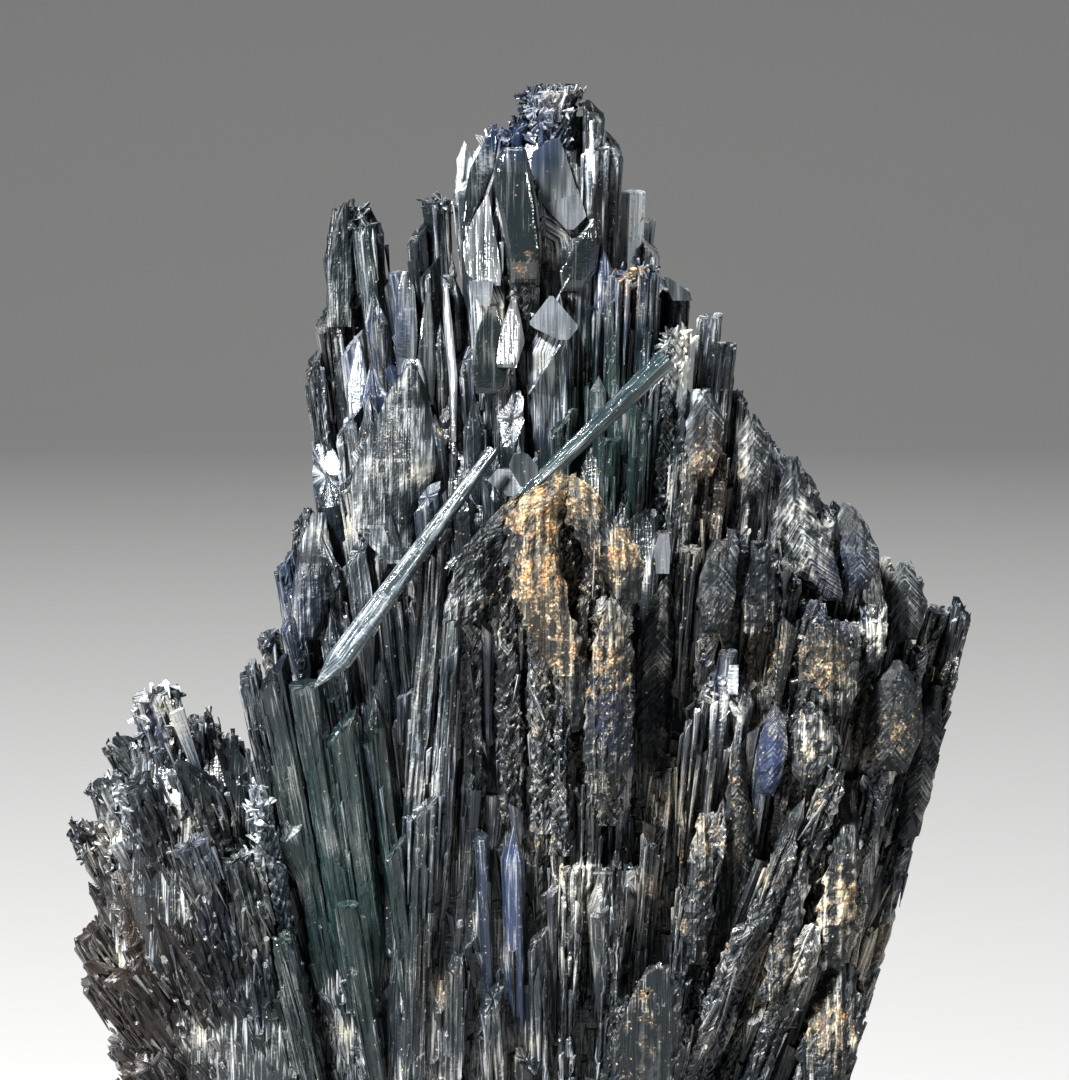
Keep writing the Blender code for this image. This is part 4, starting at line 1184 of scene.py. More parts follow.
@dataclass
class Bundle:
    """Makes the laths of a crystal by its habit."""

    habit: Habit
    rng: np.random.Generator

    def sides(self, crystal: Crystal, owner: int) -> list[Lath]:
        """Laths down the six sides of a crystal.

        Args:
            crystal: The crystal.
            owner: Its number.

        Returns:
            The laths.
        """
        habit, rng = self.habit, self.rng
        laths: list[Lath] = []
        shade = float(rng.uniform(0.0, 1.0))
        normals, _ = crystal.sides()
        edges = np.roll(crystal.corners, -1, axis=0) - crystal.corners
        lowest = min(crystal.length - 0.2, crystal.floor)
        for corner, edge, normal in zip(crystal.corners, edges, normals):
            if rng.random() < habit.bare:
                continue
            run = float(np.linalg.norm(edge))
            count = max(1, round(run / habit.lath))
            inward = -(crystal.wide * normal[0] + crystal.deep * normal[1])
            for j in range(count):
                across, through = corner + edge * (j + 0.5 + rng.uniform(-0.12, 0.12)) / count
                start = -float(crystal.top(across * 0.985, through * 0.985))
                start += habit.ragged * rng.random() ** 1.6
                pull = (1.0 - crystal.taper) / crystal.length
                along = crystal.along + (crystal.wide * across + crystal.deep * through) * pull
                along /= np.linalg.norm(along)
                sunk = habit.relief * rng.random()
                while start < lowest:
                    length = min(habit.run * rng.uniform(0.45, 1.5), lowest - start + 0.05)
                    place = crystal.place(across, through, -start) + inward * sunk
                    width = run / count * crystal.scale(start) * rng.uniform(0.94, 1.16)
                    size = (width, habit.relief + 0.34, length + 0.35)
                    form = int(rng.integers(len(LATH_FORMS)))
                    tint = float(np.clip(0.62 * shade + 0.38 * rng.uniform(0.0, 1.0), 0.0, 1.0))
                    laths.append(Lath(place, along, inward, size, form, tint, owner))
                    start += length
                    sunk = float(np.clip(sunk + habit.relief * rng.uniform(-0.8, 0.8), 0.0, habit.relief))
        return laths

    def flakes(self, crystal: Crystal, point: np.ndarray, normal: np.ndarray, owner: int) -> list[Lath]:
        """A flake on a crystal's side, or a short tip on its end where the habit is rough.

        Args:
            crystal: The crystal.
            point: A point of its face.
            normal: The way that the face looks.
            owner: The crystal's number.

        Returns:
            The flake or the tip, or nothing.
        """
        habit, rng = self.habit, self.rng
        if float(normal @ crystal.along) > 0.5:
            return [self.tip(crystal, point, owner)] if habit.bare < 0.2 else []
        across = np.cross(crystal.along, normal)
        lean = crystal.along + across * rng.normal(0.0, habit.askew)
        lean = lean + normal * rng.normal(0.0, habit.askew * 0.35)
        inward = -normal + across * rng.normal(0.0, 0.12 + habit.askew * 0.8)
        length = min(habit.run, 12.0) * rng.uniform(0.25, 0.95)
        above = min(length / 2, crystal.room(point, 0.1))
        proud = habit.proud * rng.random()
        width = habit.lath * float(np.clip(rng.lognormal(0.1, 0.42), 0.4, 2.6))
        size = (width, min(0.16 + proud + 0.25 * width, 0.7), length)
        place = point + crystal.along * above + normal * proud
        return [Lath.loose(rng, place, squared(lean, inward), size, owner)]

    def tip(self, crystal: Crystal, point: np.ndarray, owner: int) -> Lath:
        """A short tip on a crystal's end.

        Args:
            crystal: The crystal.
            point: A point of its end.
            owner: The crystal's number.

        Returns:
            The tip.
        """
        habit, rng = self.habit, self.rng
        spin = rng.uniform(0.0, 2.0 * math.pi)
        lean = crystal.along + habit.askew * (crystal.wide * rng.normal() + crystal.deep * rng.normal())
        inward = crystal.wide * math.cos(spin) + crystal.deep * math.sin(spin)
        width = habit.lath * rng.uniform(0.5, 1.2)
        size = (width, width * rng.uniform(0.6, 1.2), rng.uniform(0.8, 2.0))
        place = point + crystal.along * rng.uniform(-0.1, 0.6) * habit.ragged
        return Lath.loose(rng, place, squared(lean, inward), size, owner)


class LathTree:
    """The node tree that sets a lath or flake on each point and joins them to the bodies of the crystals."""

    INPUTS = {
        "Geometry": "Geometry", "Shapes": "Collection", "Hearts": "Object", "Splay": "Float", "Seed": "Int",
        "Finish": "Material",
    }

    def __init__(self) -> None:
        """Builds the tree."""
        self.group = bpy.data.node_groups.new("lay_laths", "GeometryNodeTree")
        for label, kind in self.INPUTS.items():
            self.group.interface.new_socket(label, in_out="INPUT", socket_type="NodeSocket" + kind)
        self.group.interface.new_socket("Geometry", in_out="OUTPUT", socket_type="NodeSocketGeometry")
        graph = Graph(self.group)
        given = graph.node("NodeGroupInput", {}, {}).outputs
        along, inward, size, wrap = (
            self.named(graph, label, "FLOAT_VECTOR") for label in ("along", "inward", "size", "wrap")
        )
        turn = graph.node(
            "FunctionNodeAxesToRotation",
            {"primary_axis": "Z", "secondary_axis": "Y"},
            {"Primary Axis": along, "Secondary Axis": inward},
        )
        lean = graph.node(
            "FunctionNodeRandomValue",
            {"data_type": "FLOAT_VECTOR"},
            {0: (-1.0, -1.0, -1.0), 1: (1.0, 1.0, 1.0), "Seed": given["Seed"]},
        )
        splayed = graph.vector("SCALE", {0: lean.outputs[0], "Scale": given["Splay"]})
        lean = graph.node("FunctionNodeEulerToRotation", {}, {0: splayed})
        both = {0: turn.outputs[0], 1: lean.outputs[0]}
        turn = graph.node("FunctionNodeRotateRotation", {"rotation_space": "LOCAL"}, both)
        shapes = graph.node(
            "GeometryNodeCollectionInfo",
            {},
            {"Collection": given["Shapes"], "Separate Children": True, "Reset Children": True},
        )
        laid = graph.node("GeometryNodeInstanceOnPoints", {}, {
            "Points": given["Geometry"],
            "Instance": shapes.outputs[0],
            "Pick Instance": True,
            "Instance Index": self.named(graph, "form", "INT"),
            "Rotation": turn.outputs[0],
            "Scale": size,
        })
        real = graph.node("GeometryNodeRealizeInstances", {}, {0: laid.outputs[0]})
        width, _, length = self.parts(graph, size)
        fall = graph.term(self.named(graph, "fall", "FLOAT"))
        drop = graph.vector("SCALE", {0: along, "Scale": fall * width * -1.0})
        shaped = graph.node("GeometryNodeSetPosition", {}, {"Geometry": real.outputs[0], "Offset": drop})
        across, down, _ = self.parts(graph, wrap)
        tint = graph.term(self.named(graph, "tint", "FLOAT"))
        grain = graph.node("ShaderNodeCombineXYZ", {}, {
            0: across * width * (1.0 / MM) + tint * SHADE_ACROSS,
            1: down * length * (1.0 / MM) + tint * SHADE_ALONG,
        })
        marked = graph.node(
            "GeometryNodeStoreNamedAttribute",
            {"data_type": "FLOAT2", "domain": "CORNER"},
            {"Geometry": shaped.outputs[0], "Name": "grain", "Value": grain.outputs[0]},
        )
        hearts = graph.node("GeometryNodeObjectInfo", {}, {"Object": given["Hearts"]})
        joined = graph.node("GeometryNodeJoinGeometry", {}, {})
        graph.tree.links.new(hearts.outputs["Geometry"], joined.inputs[0])
        graph.tree.links.new(marked.outputs[0], joined.inputs[0])
        solid = graph.node("GeometryNodeRealizeInstances", {}, {0: joined.outputs[0]})
        dressed = graph.node(
            "GeometryNodeSetMaterial", {}, {"Geometry": solid.outputs[0], "Material": given["Finish"]}
        )
        graph.node("NodeGroupOutput", {}, {0: dressed.outputs[0]})

    def named(self, graph: Graph, name: str, kind: str) -> bpy.types.NodeSocket:
        """A named attribute's socket."""
        node = graph.node("GeometryNodeInputNamedAttribute", {"data_type": kind}, {"Name": name})
        return node.outputs["Attribute"]

    def parts(self, graph: Graph, vector: bpy.types.NodeSocket) -> tuple[Term, Term, Term]:
        """A vector's three numbers."""
        node = graph.node("ShaderNodeSeparateXYZ", {}, {0: vector})
        return graph.term(node.outputs[0]), graph.term(node.outputs[1]), graph.term(node.outputs[2])

    def grow(self, name: str, points: bpy.types.Mesh, given: dict[str, Any]) -> bpy.types.Object:
        """Runs the tree and keeps its result as a plain mesh.

        Args:
            name: The piece's name.
            points: The laths' points.
            given: The tree's other inputs by name.

        Returns:
            The piece.
        """
        piece = bpy.data.objects.new(name, points)
        bpy.context.scene.collection.objects.link(piece)
        modifier = piece.modifiers.new("lay_laths", "NODES")
        modifier.node_group = self.group
        for item in self.group.interface.items_tree:
            if item.name in given and item.in_out == "INPUT":
                modifier[item.identifier] = given[item.name]
        evaluated = piece.evaluated_get(bpy.context.evaluated_depsgraph_get())
        mesh = bpy.data.meshes.new_from_object(evaluated)
        piece.modifiers.clear()
        piece.data = mesh
        mesh.name = name
        bpy.data.meshes.remove(points)
        for spare in ("along", "inward", "size", "form", "fall", "wrap"):
            if spare in mesh.attributes:
                mesh.attributes.remove(mesh.attributes[spare])
        return piece


@dataclass
class Grained:
    """A mesh that is being built.

    Each corner of a face has its grain coordinates, each point its shade and how deep in a groove it lies.
    The finish paints that depth as shade in the grooves and as highlights on the crests.
    """

    points: list[np.ndarray] = field(default_factory=list)
    faces: list[list[int]] = field(default_factory=list)
    grain: list[tuple[float, float]] = field(default_factory=list)
    tint: list[float] = field(default_factory=list)
    hollow: list[float] = field(default_factory=list)

    def add_face(self, corners: list[int], marks: Sequence[tuple[float, float]]) -> None:
        """Adds a face with its corners' grain coordinates."""
        self.faces.append(corners)
        self.grain.extend(marks)

    def build(self, name: str) -> bpy.types.Object:
        """Makes the object, which isn't in the scene yet.

        Args:
            name: The object's name.

        Returns:
            The object.
        """
        mesh = plain_mesh(name, np.array(self.points) * MM, self.faces)
        marked(mesh, "grain", "FLOAT2", "CORNER", self.grain)
        marked(mesh, "tint", "FLOAT", "POINT", self.tint)
        marked(mesh, "hollow", "FLOAT", "POINT", self.hollow)
        return bpy.data.objects.new(name, mesh)


def feathered(across: float, height: float, spread: float = 2.4) -> tuple[float, float]:
    """Grain coordinates whose lines rise to a midrib, like the barbs of a feather."""
    return (height * 1.5 + abs(math.fmod(across, spread) - spread / 2) * 1.7, across * 0.6)


@dataclass
class Hearts(Grained):
    """The bodies of a stand's crystals: clean bevelled prisms, and columns broken into ridges and steps."""

    pitch: float = 0.24
    bevel: float = 0.09

    def add_prism(self, crystal: Crystal, shade: float) -> None:
        """Adds a clean crystal.

        Args:
            crystal: The crystal.
            shade: Its shade, from 0 to 1.
        """
        reach = float(np.mean(crystal.sides()[1]))
        corners = self.bevelled(crystal.corners * (1.0 - 0.02 / reach))
        lowest = min(crystal.length - 0.1, crystal.floor)
        tops = crystal.top(corners[:, 0] * INSIDE, corners[:, 1] * INSIDE)
        rings = [(corners, np.full(len(corners), -lowest)), (corners, tops - self.bevel)]
        if crystal.blade.end is POINT:
            rings.append((np.zeros((1, 2)) + (crystal.lean, 0.0), np.zeros(1)))
        elif crystal.blade.end is ROUND:
            rings.append((corners * 0.86, tops * 0.42))
            rings.append((corners * ROUND_SCALE, np.zeros(len(corners))))
        else:
            inset = corners * (1.0 - self.bevel / reach)
            rings.append((inset, crystal.top(inset[:, 0], inset[:, 1])))
        self.loft(crystal, rings, shade)

    def bevelled(self, corners: np.ndarray) -> np.ndarray:
        """Splits each corner of a section in two.

        Args:
            corners: The corners.

        Returns:
            Twice as many corners.
        """
        split = []
        for before, corner, after in zip(np.roll(corners, 1, axis=0), corners, np.roll(corners, -1, axis=0)):
            for other in (before, after):
                apart = other - corner
                run = float(np.linalg.norm(apart))
                split.append(corner + apart / run * min(self.bevel, 0.3 * run))
        return np.array(split)

    def loft(self, crystal: Crystal, rings: list[tuple[np.ndarray, np.ndarray]], shade: float) -> None:
        """Joins rings of a section into a closed prism.

        Args:
            crystal: The crystal.
            rings: Section points and heights from the foot up. A last ring of one point is an apex.
            shade: The crystal's shade.
        """
        first = rings[0][0]
        sides = len(first)
        trip = np.cumsum([0.0] + [math.dist(first[i], first[(i + 1) % sides]) for i in range(sides)])
        starts = []
        for flat, heights in rings:
            starts.append(len(self.points))
            self.points.extend(crystal.place(flat[:, 0], flat[:, 1], heights))
            self.tint.extend([shade] * len(flat))
            self.hollow.extend([0.0] * len(flat))

        def face(spots: Sequence[tuple[int, int, int]]) -> None:
            """Adds a face between rings.

            Args:
                spots: Each corner's ring, its place in the ring and its place round the outline.
            """
            self.add_face([starts[ring] + place for ring, place, _ in spots], [
                (float(trip[turn]) + shade * SHADE_ACROSS, float(rings[ring][1][place]) + shade * SHADE_ALONG)
                for ring, place, turn in spots
            ])

        last = len(rings) - 1
        face([(0, i, i) for i in reversed(range(sides))])
        for lower in range(last):
            for i in range(sides):
                upper, j = lower + 1, (i + 1) % sides
                if len(rings[upper][0]) == 1:
                    face([(lower, i, i), (lower, j, i + 1), (upper, 0, i)])
                else:
                    face([(lower, i, i), (lower, j, i + 1), (upper, j, i + 1), (upper, i, i)])
        if len(rings[last][0]) > 1:
            face([(last, i, i) for i in range(sides)])

    def outline(self, crystal: Crystal) -> np.ndarray:
        """Points round a crystal's section, a pitch apart, with its corners worn down.

        Args:
            crystal: The crystal.

        Returns:
            The points.
        """
        around = []
        for corner, following in zip(crystal.corners, np.roll(crystal.corners, -1, axis=0)):
            edge = following - corner
            count = max(1, round(float(np.linalg.norm(edge)) / self.pitch))
            around.extend(corner + edge * i / count for i in range(count))
        outline = np.array(around)
        reach = np.linalg.norm(outline, axis=1)
        return outline * (1.0 - 0.10 * (reach / reach.max())[:, None] ** 4)

    def add_column(self, crystal: Crystal, habit: Habit, shade: float, lowest: float) -> None:
        """Adds a crinkled crystal.

        Args:
            crystal: The crystal.
            habit: How it is crinkled.
            shade: Its shade, from 0 to 1.
            lowest: How far below the tip it can be seen.
        """
        outline = self.outline(crystal)
        sides = len(outline)
        tops = crystal.top(outline[:, 0] * INSIDE, outline[:, 1] * INSIDE)
        levels = max(3, round(lowest / (self.pitch * 1.25)))
        trip = np.arange(sides) * self.pitch
        shift = Vector((shade * 91.0, shade * 57.0, shade * 13.0))
        rings = [(outline, -lowest + (tops + lowest) * level / levels) for level in range(levels + 1)]
        for inner in (0.86, 0.66, 0.44, 0.22):
            rings.append((outline * inner, crystal.top(outline[:, 0] * inner, outline[:, 1] * inner)))
        start = len(self.points)
        deepest = habit.ridge + 0.8 * habit.cleft + 0.6 * (habit.cross + habit.step)
        for flat, heights in rings:
            placed = crystal.place(flat[:, 0], flat[:, 1], heights)
            reach = np.linalg.norm(flat, axis=1)
            for i in range(sides):
                cut = self.cut(habit, trip[i], float(heights[i]), shift)
                out = (crystal.wide * flat[i, 0] + crystal.deep * flat[i, 1]) / max(reach[i], 1e-6)
                cap = float(np.clip(1.0 - reach[i] / np.linalg.norm(outline[i]), 0.0, 1.0))
                sunk = placed[i] - out * cut * (1.0 - cap)
                self.points.append(sunk - crystal.along * cut * (0.4 + 1.4 * cap))
                # How deep the point lies in a groove, which the finish turns into painted shade.
                self.hollow.append(float(np.clip(cut / deepest, 0.0, 1.0)))
        middle = np.zeros(1)
        self.points.append(crystal.place(middle, middle, crystal.top(middle, middle) - 0.1)[0])
        self.hollow.append(0.5)
        self.tint.extend([shade] * (len(rings) * sides + 1))
        lefts = trip + shade * SHADE_ACROSS
        rights = trip + self.pitch + shade * SHADE_ACROSS
        last = len(rings) - 1
        for ring in range(last):
            low, up = start + ring * sides, start + (ring + 1) * sides
            under, over = rings[ring][1], rings[ring + 1][1]
            for i in range(sides):
                j = (i + 1) % sides
                marks = [
                    (lefts[i], float(under[i])), (rights[i], float(under[j])),
                    (rights[i], float(over[j])), (lefts[i], float(over[i])),
                ]
                if habit.cross > 0.2:
                    marks = [feathered(*mark) for mark in marks]
                self.add_face([low + i, low + j, up + j, up + i], marks)
        top = start + last * sides
        for i in range(sides):
            corners = [top + i, top + (i + 1) % sides, len(self.points) - 1]
            self.add_face(corners, [(lefts[i], 0.0), (rights[i], 0.0), (0.0, 0.4)])
        foot = list(reversed(range(sides)))
        self.add_face([start + i for i in foot], [(trip[i], 0.0) for i in foot])

    def cut(self, habit: Habit, across: float, height: float, shift: Vector) -> float:
        """How deep the crinkles cut at one spot.

        Args:
            habit: The column's habit.
            across: The distance round the column.
            height: The height from the tip.
            shift: What makes each column differ.

        Returns:
            The depth.
        """
        wander = across + 0.5 * noise.noise(Vector((across * 0.3, height * 0.16, 3.0)) + shift)
        groove = abs(noise.noise(Vector((wander * 0.55, height * 0.04, 0.0)) + shift))
        ridge = noise.noise(Vector((wander * 2.3, height * 0.10, 9.0)) + shift)
        block = Vector((math.floor(wander * 1.25) * 2.7, math.floor(height * 0.16) * 0.9, 1.0))
        slab = noise.noise(block + shift)
        slope = height * 1.5 + 0.8 * abs(math.fmod(across + shift.x, 2.4) - 1.2)
        cross = abs(noise.noise(Vector((across * 0.8, slope * 1.5, 4.0)) + shift))
        speck = noise.noise(Vector((across * 2.6, height * 2.2, 2.0)) + shift)
        broken = height * 0.55 + 1.3 * noise.noise(Vector((across * 0.7, height * 0.12, 7.0)) + shift)
        step = noise.noise(Vector((across * 0.5, math.floor(broken) * 3.7, 5.0)) + shift)
        return (
            habit.ridge * (0.35 - 0.9 * ridge + 0.9 * slab)
            + habit.cleft * max(0.0, 1.0 - 7.0 * groove)
            + habit.cross * (0.6 - 1.6 * cross + 0.5 * speck)
            + habit.step * (0.4 + 1.2 * step)
        )


def dyed(mesh: bpy.types.Mesh, strength: float = 1.0) -> None:
    """Writes the strength of each dye at each point of a finished mesh.

    Args:
        mesh: The mesh, in metres.
        strength: A factor on all the dyes.
    """
    points = places(mesh) / MM
    for dye, patches in PATCHES.items():
        total = np.max([patch.weights(points) for patch in patches], axis=0)
        marked(mesh, dye.value, "FLOAT", "POINT", total * strength)


def finished(piece: bpy.types.Object) -> bpy.types.Object:
    """Holds a piece in the solid's box, dyes it and makes it ride on the part.

    Args:
        piece: The piece.

    Returns:
        The same piece.
    """
    low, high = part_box(CAD_NODE)
    points = np.clip(places(piece.data), np.array(low), np.array(high))
    piece.data.vertices.foreach_set("co", points.astype(np.float32).ravel())
    piece.data.update()
    dyed(piece.data)
    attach(piece, BODY)
    return piece


class Skin:
    """The outer surface of the solid, in millimetres, from which spots are picked evenly."""

    def __init__(self, node: bpy.types.Object) -> None:
        """Reads the solid's triangles.

        Args:
            node: The solid.
        """
        mesh = node.data
        mesh.calc_loop_triangles()
        corners = np.empty(len(mesh.loop_triangles) * 3, dtype=np.int32)
        mesh.loop_triangles.foreach_get("vertices", corners)
        self.points = places(mesh).astype(float) / MM
        self.triangles = corners.reshape(-1, 3)
        a, b, c = (self.points[self.triangles[:, i]] for i in range(3))
        cross = np.cross(b - a, c - a)
        self.areas = np.linalg.norm(cross, axis=1) / 2
        self.normals = cross / np.maximum(2 * self.areas[:, None], 1e-12)
        self.tree = BVHTree.FromPolygons(self.points.tolist(), self.triangles.tolist())

    def spots(self, density: float, rng: np.random.Generator) -> tuple[np.ndarray, np.ndarray]:
        """Picks spots all over the surface but for the cut foot.

        Args:
            density: How many on each square millimetre.
            rng: The source of chance.

        Returns:
            The spots and the way the surface looks there.
        """
        count = int(self.areas.sum() * density)
        chosen = rng.choice(len(self.areas), count, p=self.areas / self.areas.sum())
        u, v = rng.random(count), rng.random(count)
        fold = u + v > 1.0
        u[fold], v[fold] = 1.0 - u[fold], 1.0 - v[fold]
        a, b, c = (self.points[self.triangles[chosen, i]] for i in range(3))
        spots = a + (b - a) * u[:, None] + (c - a) * v[:, None]
        keep = spots[:, 2] > 0.05
        return spots[keep], self.normals[chosen][keep]

    def near(self, lath: Lath, aloof: float) -> bool:
        """Whether a thin crystal keeps to the surface.

        Args:
            lath: The crystal.
            aloof: How far from the surface its top may be; its foot may be twice as far outside.

        Returns:
            True if its top is near the surface and the rest doesn't hang in the open.
        """
        if self.tree.find_nearest(Vector(lath.place))[3] > aloof:
            return False
        for down in (0.5, 1.0):
            spot = Vector(lath.place - lath.along * lath.size[2] * down)
            nearest, facing, _, distance = self.tree.find_nearest(spot)
            if distance > aloof * (1.0 + down) and (spot - nearest).dot(facing) > 0.0:
                return False
        return True

    def gap(self, spot: np.ndarray, normal: np.ndarray, widest: float) -> float:
        """How far the surface across a crevice is.

        Args:
            spot: A point of the surface.
            normal: The way it looks there.
            widest: The widest crevice that counts.

        Returns:
            The distance, or 0 where there is no crevice.
        """
        start = Vector(spot + normal * 0.02)
        _, facing, _, distance = self.tree.ray_cast(start, Vector(normal), widest)
        if facing is None or facing.dot(Vector(normal)) > -0.25:
            return 0.0
        return float(distance)


class Face(Enum):
    """What the face of a leaf is like: how deep its crinkles, its veins and its striae cut, and its edge."""

    GLASS = (0.0, 0.0, 0.0, 0.35)
    MATT = (0.05, 0.0, 0.03, 0.5)
    FEATHER = (0.10, 0.08, 0.05, 0.6)
    CRUST = (0.20, 0.0, 0.13, 0.8)


GLASS, MATT, FEATHER, CRUST = Face


@dataclass(frozen=True)
class Leaf:
    """A broad flat crystal that lies on the front.

    levels gives its left and right edge at each height. bulge is how far its middle stands out from its
    edges, proud how far its edges stand out from what lies behind, turn and lean how it slopes sideways and
    upward.
    """

    face: Face
    levels: tuple[tuple[float, float, float], ...]
    bulge: float = 0.5
    proud: float = 0.3
    turn: float = 0.0
    lean: float = 0.0
    # How pale the leaf is painted: its tone, and on glassy plates partly painted reflection.
    shade: float = 0.4
    pitch: float = 0.16
    follow: float = 1.6
    shallow: float = 0.8
    deep: float = 2.4
    narrowed: float = 0.6
    shortened: float = 0.92

    def build(self, cluster: "Cluster", seed: int, mesh: Grained) -> None:
        """Adds the leaf to a mesh that is being built.

        Args:
            cluster: The cluster it lies on.
            seed: What makes its crinkles differ from other leaves' crinkles.
            mesh: The mesh.
        """
        heights, lefts, rights = np.array(self.levels).T
        rows = max(4, round((heights[-1] - heights[0]) / (self.pitch * 1.5)))
        cells = max(4, round(float((rights - lefts).max()) / self.pitch))
        tall = np.linspace(heights[0], heights[-1], rows + 1)
        left, right = np.interp(tall, heights, lefts), np.interp(tall, heights, rights)
        centre = np.array((float((left + right).mean() / 2), float(tall.mean())))
        depths = self.depths(cluster, tall, left, right) - self.proud
        crinkle, vein, stria, edge = self.face.value
        shift = Vector((seed * 7.3, seed * 3.1, seed * 5.7))
        start = len(mesh.points)
        marks: list[tuple[float, float]] = []
        for row, (height, low, high) in enumerate(zip(tall, left, right)):
            rise = min(row, rows - row) / rows * 2.0
            for cell in range(cells + 1):
                share = 2.0 * cell / cells - 1.0
                x = low + (high - low) * cell / cells
                dome = max(0.0, 1.0 - abs(share) ** (1.0 / edge) ** 2) * min(1.0, rise * 3.0) ** 0.5
                y = depths[row] + self.turn * (x - centre[0]) + self.lean * (height - centre[1])
                y -= self.bulge * dome
                spot = Vector((x, height * 0.7, 0.0))
                rough = crinkle * (noise.noise(spot * 2.2 + shift) + 0.6 * noise.noise(spot * 5.0 + shift))
                slope = height * 2.3 + abs(share) * (high - low) * 1.4
                rough += vein * (abs(noise.noise(Vector((share * 1.2, slope, 2.0)) + shift)) * 2.0 - 0.5)
                rough += stria * 2.0 * noise.noise(Vector((x * 2.6, height * 0.12, 5.0)) + shift)
                inner = 0.0 if cell in (0, cells) or row in (0, rows) else 1.0
                jag = (1.0 - inner) * 0.25 * crinkle / 0.1
                side = noise.noise(spot * 1.7 + shift * 2.0) * jag
                mesh.points.append(np.array((x + side, y - rough * inner, height + side)))
                # How deep the point lies in the leaf's crinkles, kept for the finish's painted shade.
                sunk = 0.4 - rough / (crinkle + vein + stria + 0.05)
                mesh.hollow.append(float(np.clip(sunk, 0.0, 1.0)))
                across = (share + 1.0) * (high - low) / 2
                marks.append(feathered(across, height, high - low) if vein else (x + seed * 3.7, height))
        wide = cells + 1
        loop = list(range(wide))
        loop += [row * wide + cells for row in range(1, rows + 1)]
        loop += [rows * wide + cell for cell in range(cells - 1, -1, -1)]
        loop += [row * wide for row in range(rows - 1, 0, -1)]
        back = wide * (rows + 1)
        for place in loop:
            x, y, z = mesh.points[start + place]
            middle = (left[place // wide] + right[place // wide]) / 2
            behind = self.rooted(cluster, mesh.points[start + place])
            mesh.points.append(np.array((
                middle + (x - middle) * self.narrowed, behind, centre[1] + (z - centre[1]) * self.shortened
            )))
            marks.append((marks[place][0] + behind - y, marks[place][1]))
        mesh.tint.extend([self.shade] * (back + len(loop)))
        # The leaf's sides that run back into the cluster get painted shade.
        mesh.hollow.extend([0.6] * len(loop))
        starts = [row * wide + cell for row in range(rows) for cell in range(cells)]
        faces = [[low, low + 1, low + wide + 1, low + wide] for low in starts]
        for number, place in enumerate(loop):
            after = (number + 1) % len(loop)
            faces.append([loop[after], place, back + number, back + after])
        faces.append([back + number for number in reversed(range(len(loop)))])
        for corners in faces:
            mesh.add_face([start + corner for corner in corners], [marks[corner] for corner in corners])

    def covers(self, spots: np.ndarray) -> np.ndarray:
        """Which spots the leaf hides from the front.

        Args:
            spots: The spots.

        Returns:
            True for each spot that is hidden.
        """
        heights, lefts, rights = np.array(self.levels).T
        inside = (spots[:, 2] > heights[0] - 0.2) & (spots[:, 2] < heights[-1] + 0.1)
        inside &= spots[:, 0] > np.interp(spots[:, 2], heights, lefts) - 0.1
        return inside & (spots[:, 0] < np.interp(spots[:, 2], heights, rights) + 0.1)

    def depths(self, cluster: "Cluster", tall: np.ndarray, left: np.ndarray, right: np.ndarray) -> np.ndarray:
        """How far forward the surface behind the leaf stands at each of its rows.

        Args:
            cluster: The cluster it lies on.
            tall: The rows' heights.
            left: The rows' left ends.
            right: The rows' right ends.

        Returns:
            The depths. A glassy leaf is flat, so it has one for all its rows.
        """
        hits = []
        for height, low, high in zip(tall, left, right):
            for share in (0.2, 0.5, 0.8):
                front = cluster.front_at(low + (high - low) * share, height)
                if front is not None:
                    hits.append((height, front))
        if not hits:
            return np.zeros(len(tall))
        fronts = np.array(hits)
        level = float(np.percentile(fronts[:, 1], 30))
        if self.face is GLASS:
            return np.full(len(tall), level)
        near = []
        for height in tall:
            beside = fronts[np.abs(fronts[:, 0] - height) < self.follow, 1]
            near.append(float(np.percentile(beside, 30)) if len(beside) else level)
        reach = max(1, round(self.follow * len(tall) / (tall[-1] - tall[0])))
        padded = np.pad(near, reach, mode="edge")
        return np.convolve(padded, np.full(2 * reach + 1, 1.0 / (2 * reach + 1)), mode="valid")

    def rooted(self, cluster: "Cluster", point: np.ndarray) -> float:
        """How far back the leaf's side runs at a point of its edge, so that it ends inside the cluster.

        Args:
            cluster: The cluster.
            point: The point of the edge.

        Returns:
            The depth, as a place on the Y axis.
        """
        front = cluster.front_at(point[0], point[2])
        if front is None:
            return point[1] + self.shallow
        return float(np.clip(front + 0.5, point[1] + self.shallow, point[1] + self.deep))


# The glassy plates' pale slate is partly their grey tone and partly painted reflection.
GLASS_FINISH = MineralFinish(
    name="glassy_vivianite", deep=Tone(0.007, 0.010, 0.011), slate=Tone(0.10, 0.107, 0.112), gloss=0.06,
    relief=0.0001, fleck=0.4, sheen=0.5,
)
MATT_FINISH = MineralFinish(
    name="matt_vivianite", slate=Tone(0.011, 0.015, 0.019), gloss=0.30, relief=0.00030, sheen=0.18,
)
PANEL_FINISH = MineralFinish(name="green_vivianite", slate=Tone(0.010, 0.017, 0.019), gloss=0.12, fleck=0.42)
DARK_FINISH = MineralFinish(name="dark_vivianite", slate=Tone(0.013, 0.020, 0.027), fleck=0.62)
FIBROUS_FINISH = MineralFinish(
    name="fibrous_vivianite", slate=Tone(0.0105, 0.014, 0.018), fleck=0.42, gloss=0.24, sheen=0.22,
)
CLEAR_FINISH = MineralFinish(
    name="clear_vivianite", deep=Tone(0.010, 0.020, 0.024), slate=Tone(0.045, 0.085, 0.09), gloss=0.10,
    clear=0.3, fleck=0.6, sheen=0.5,
)
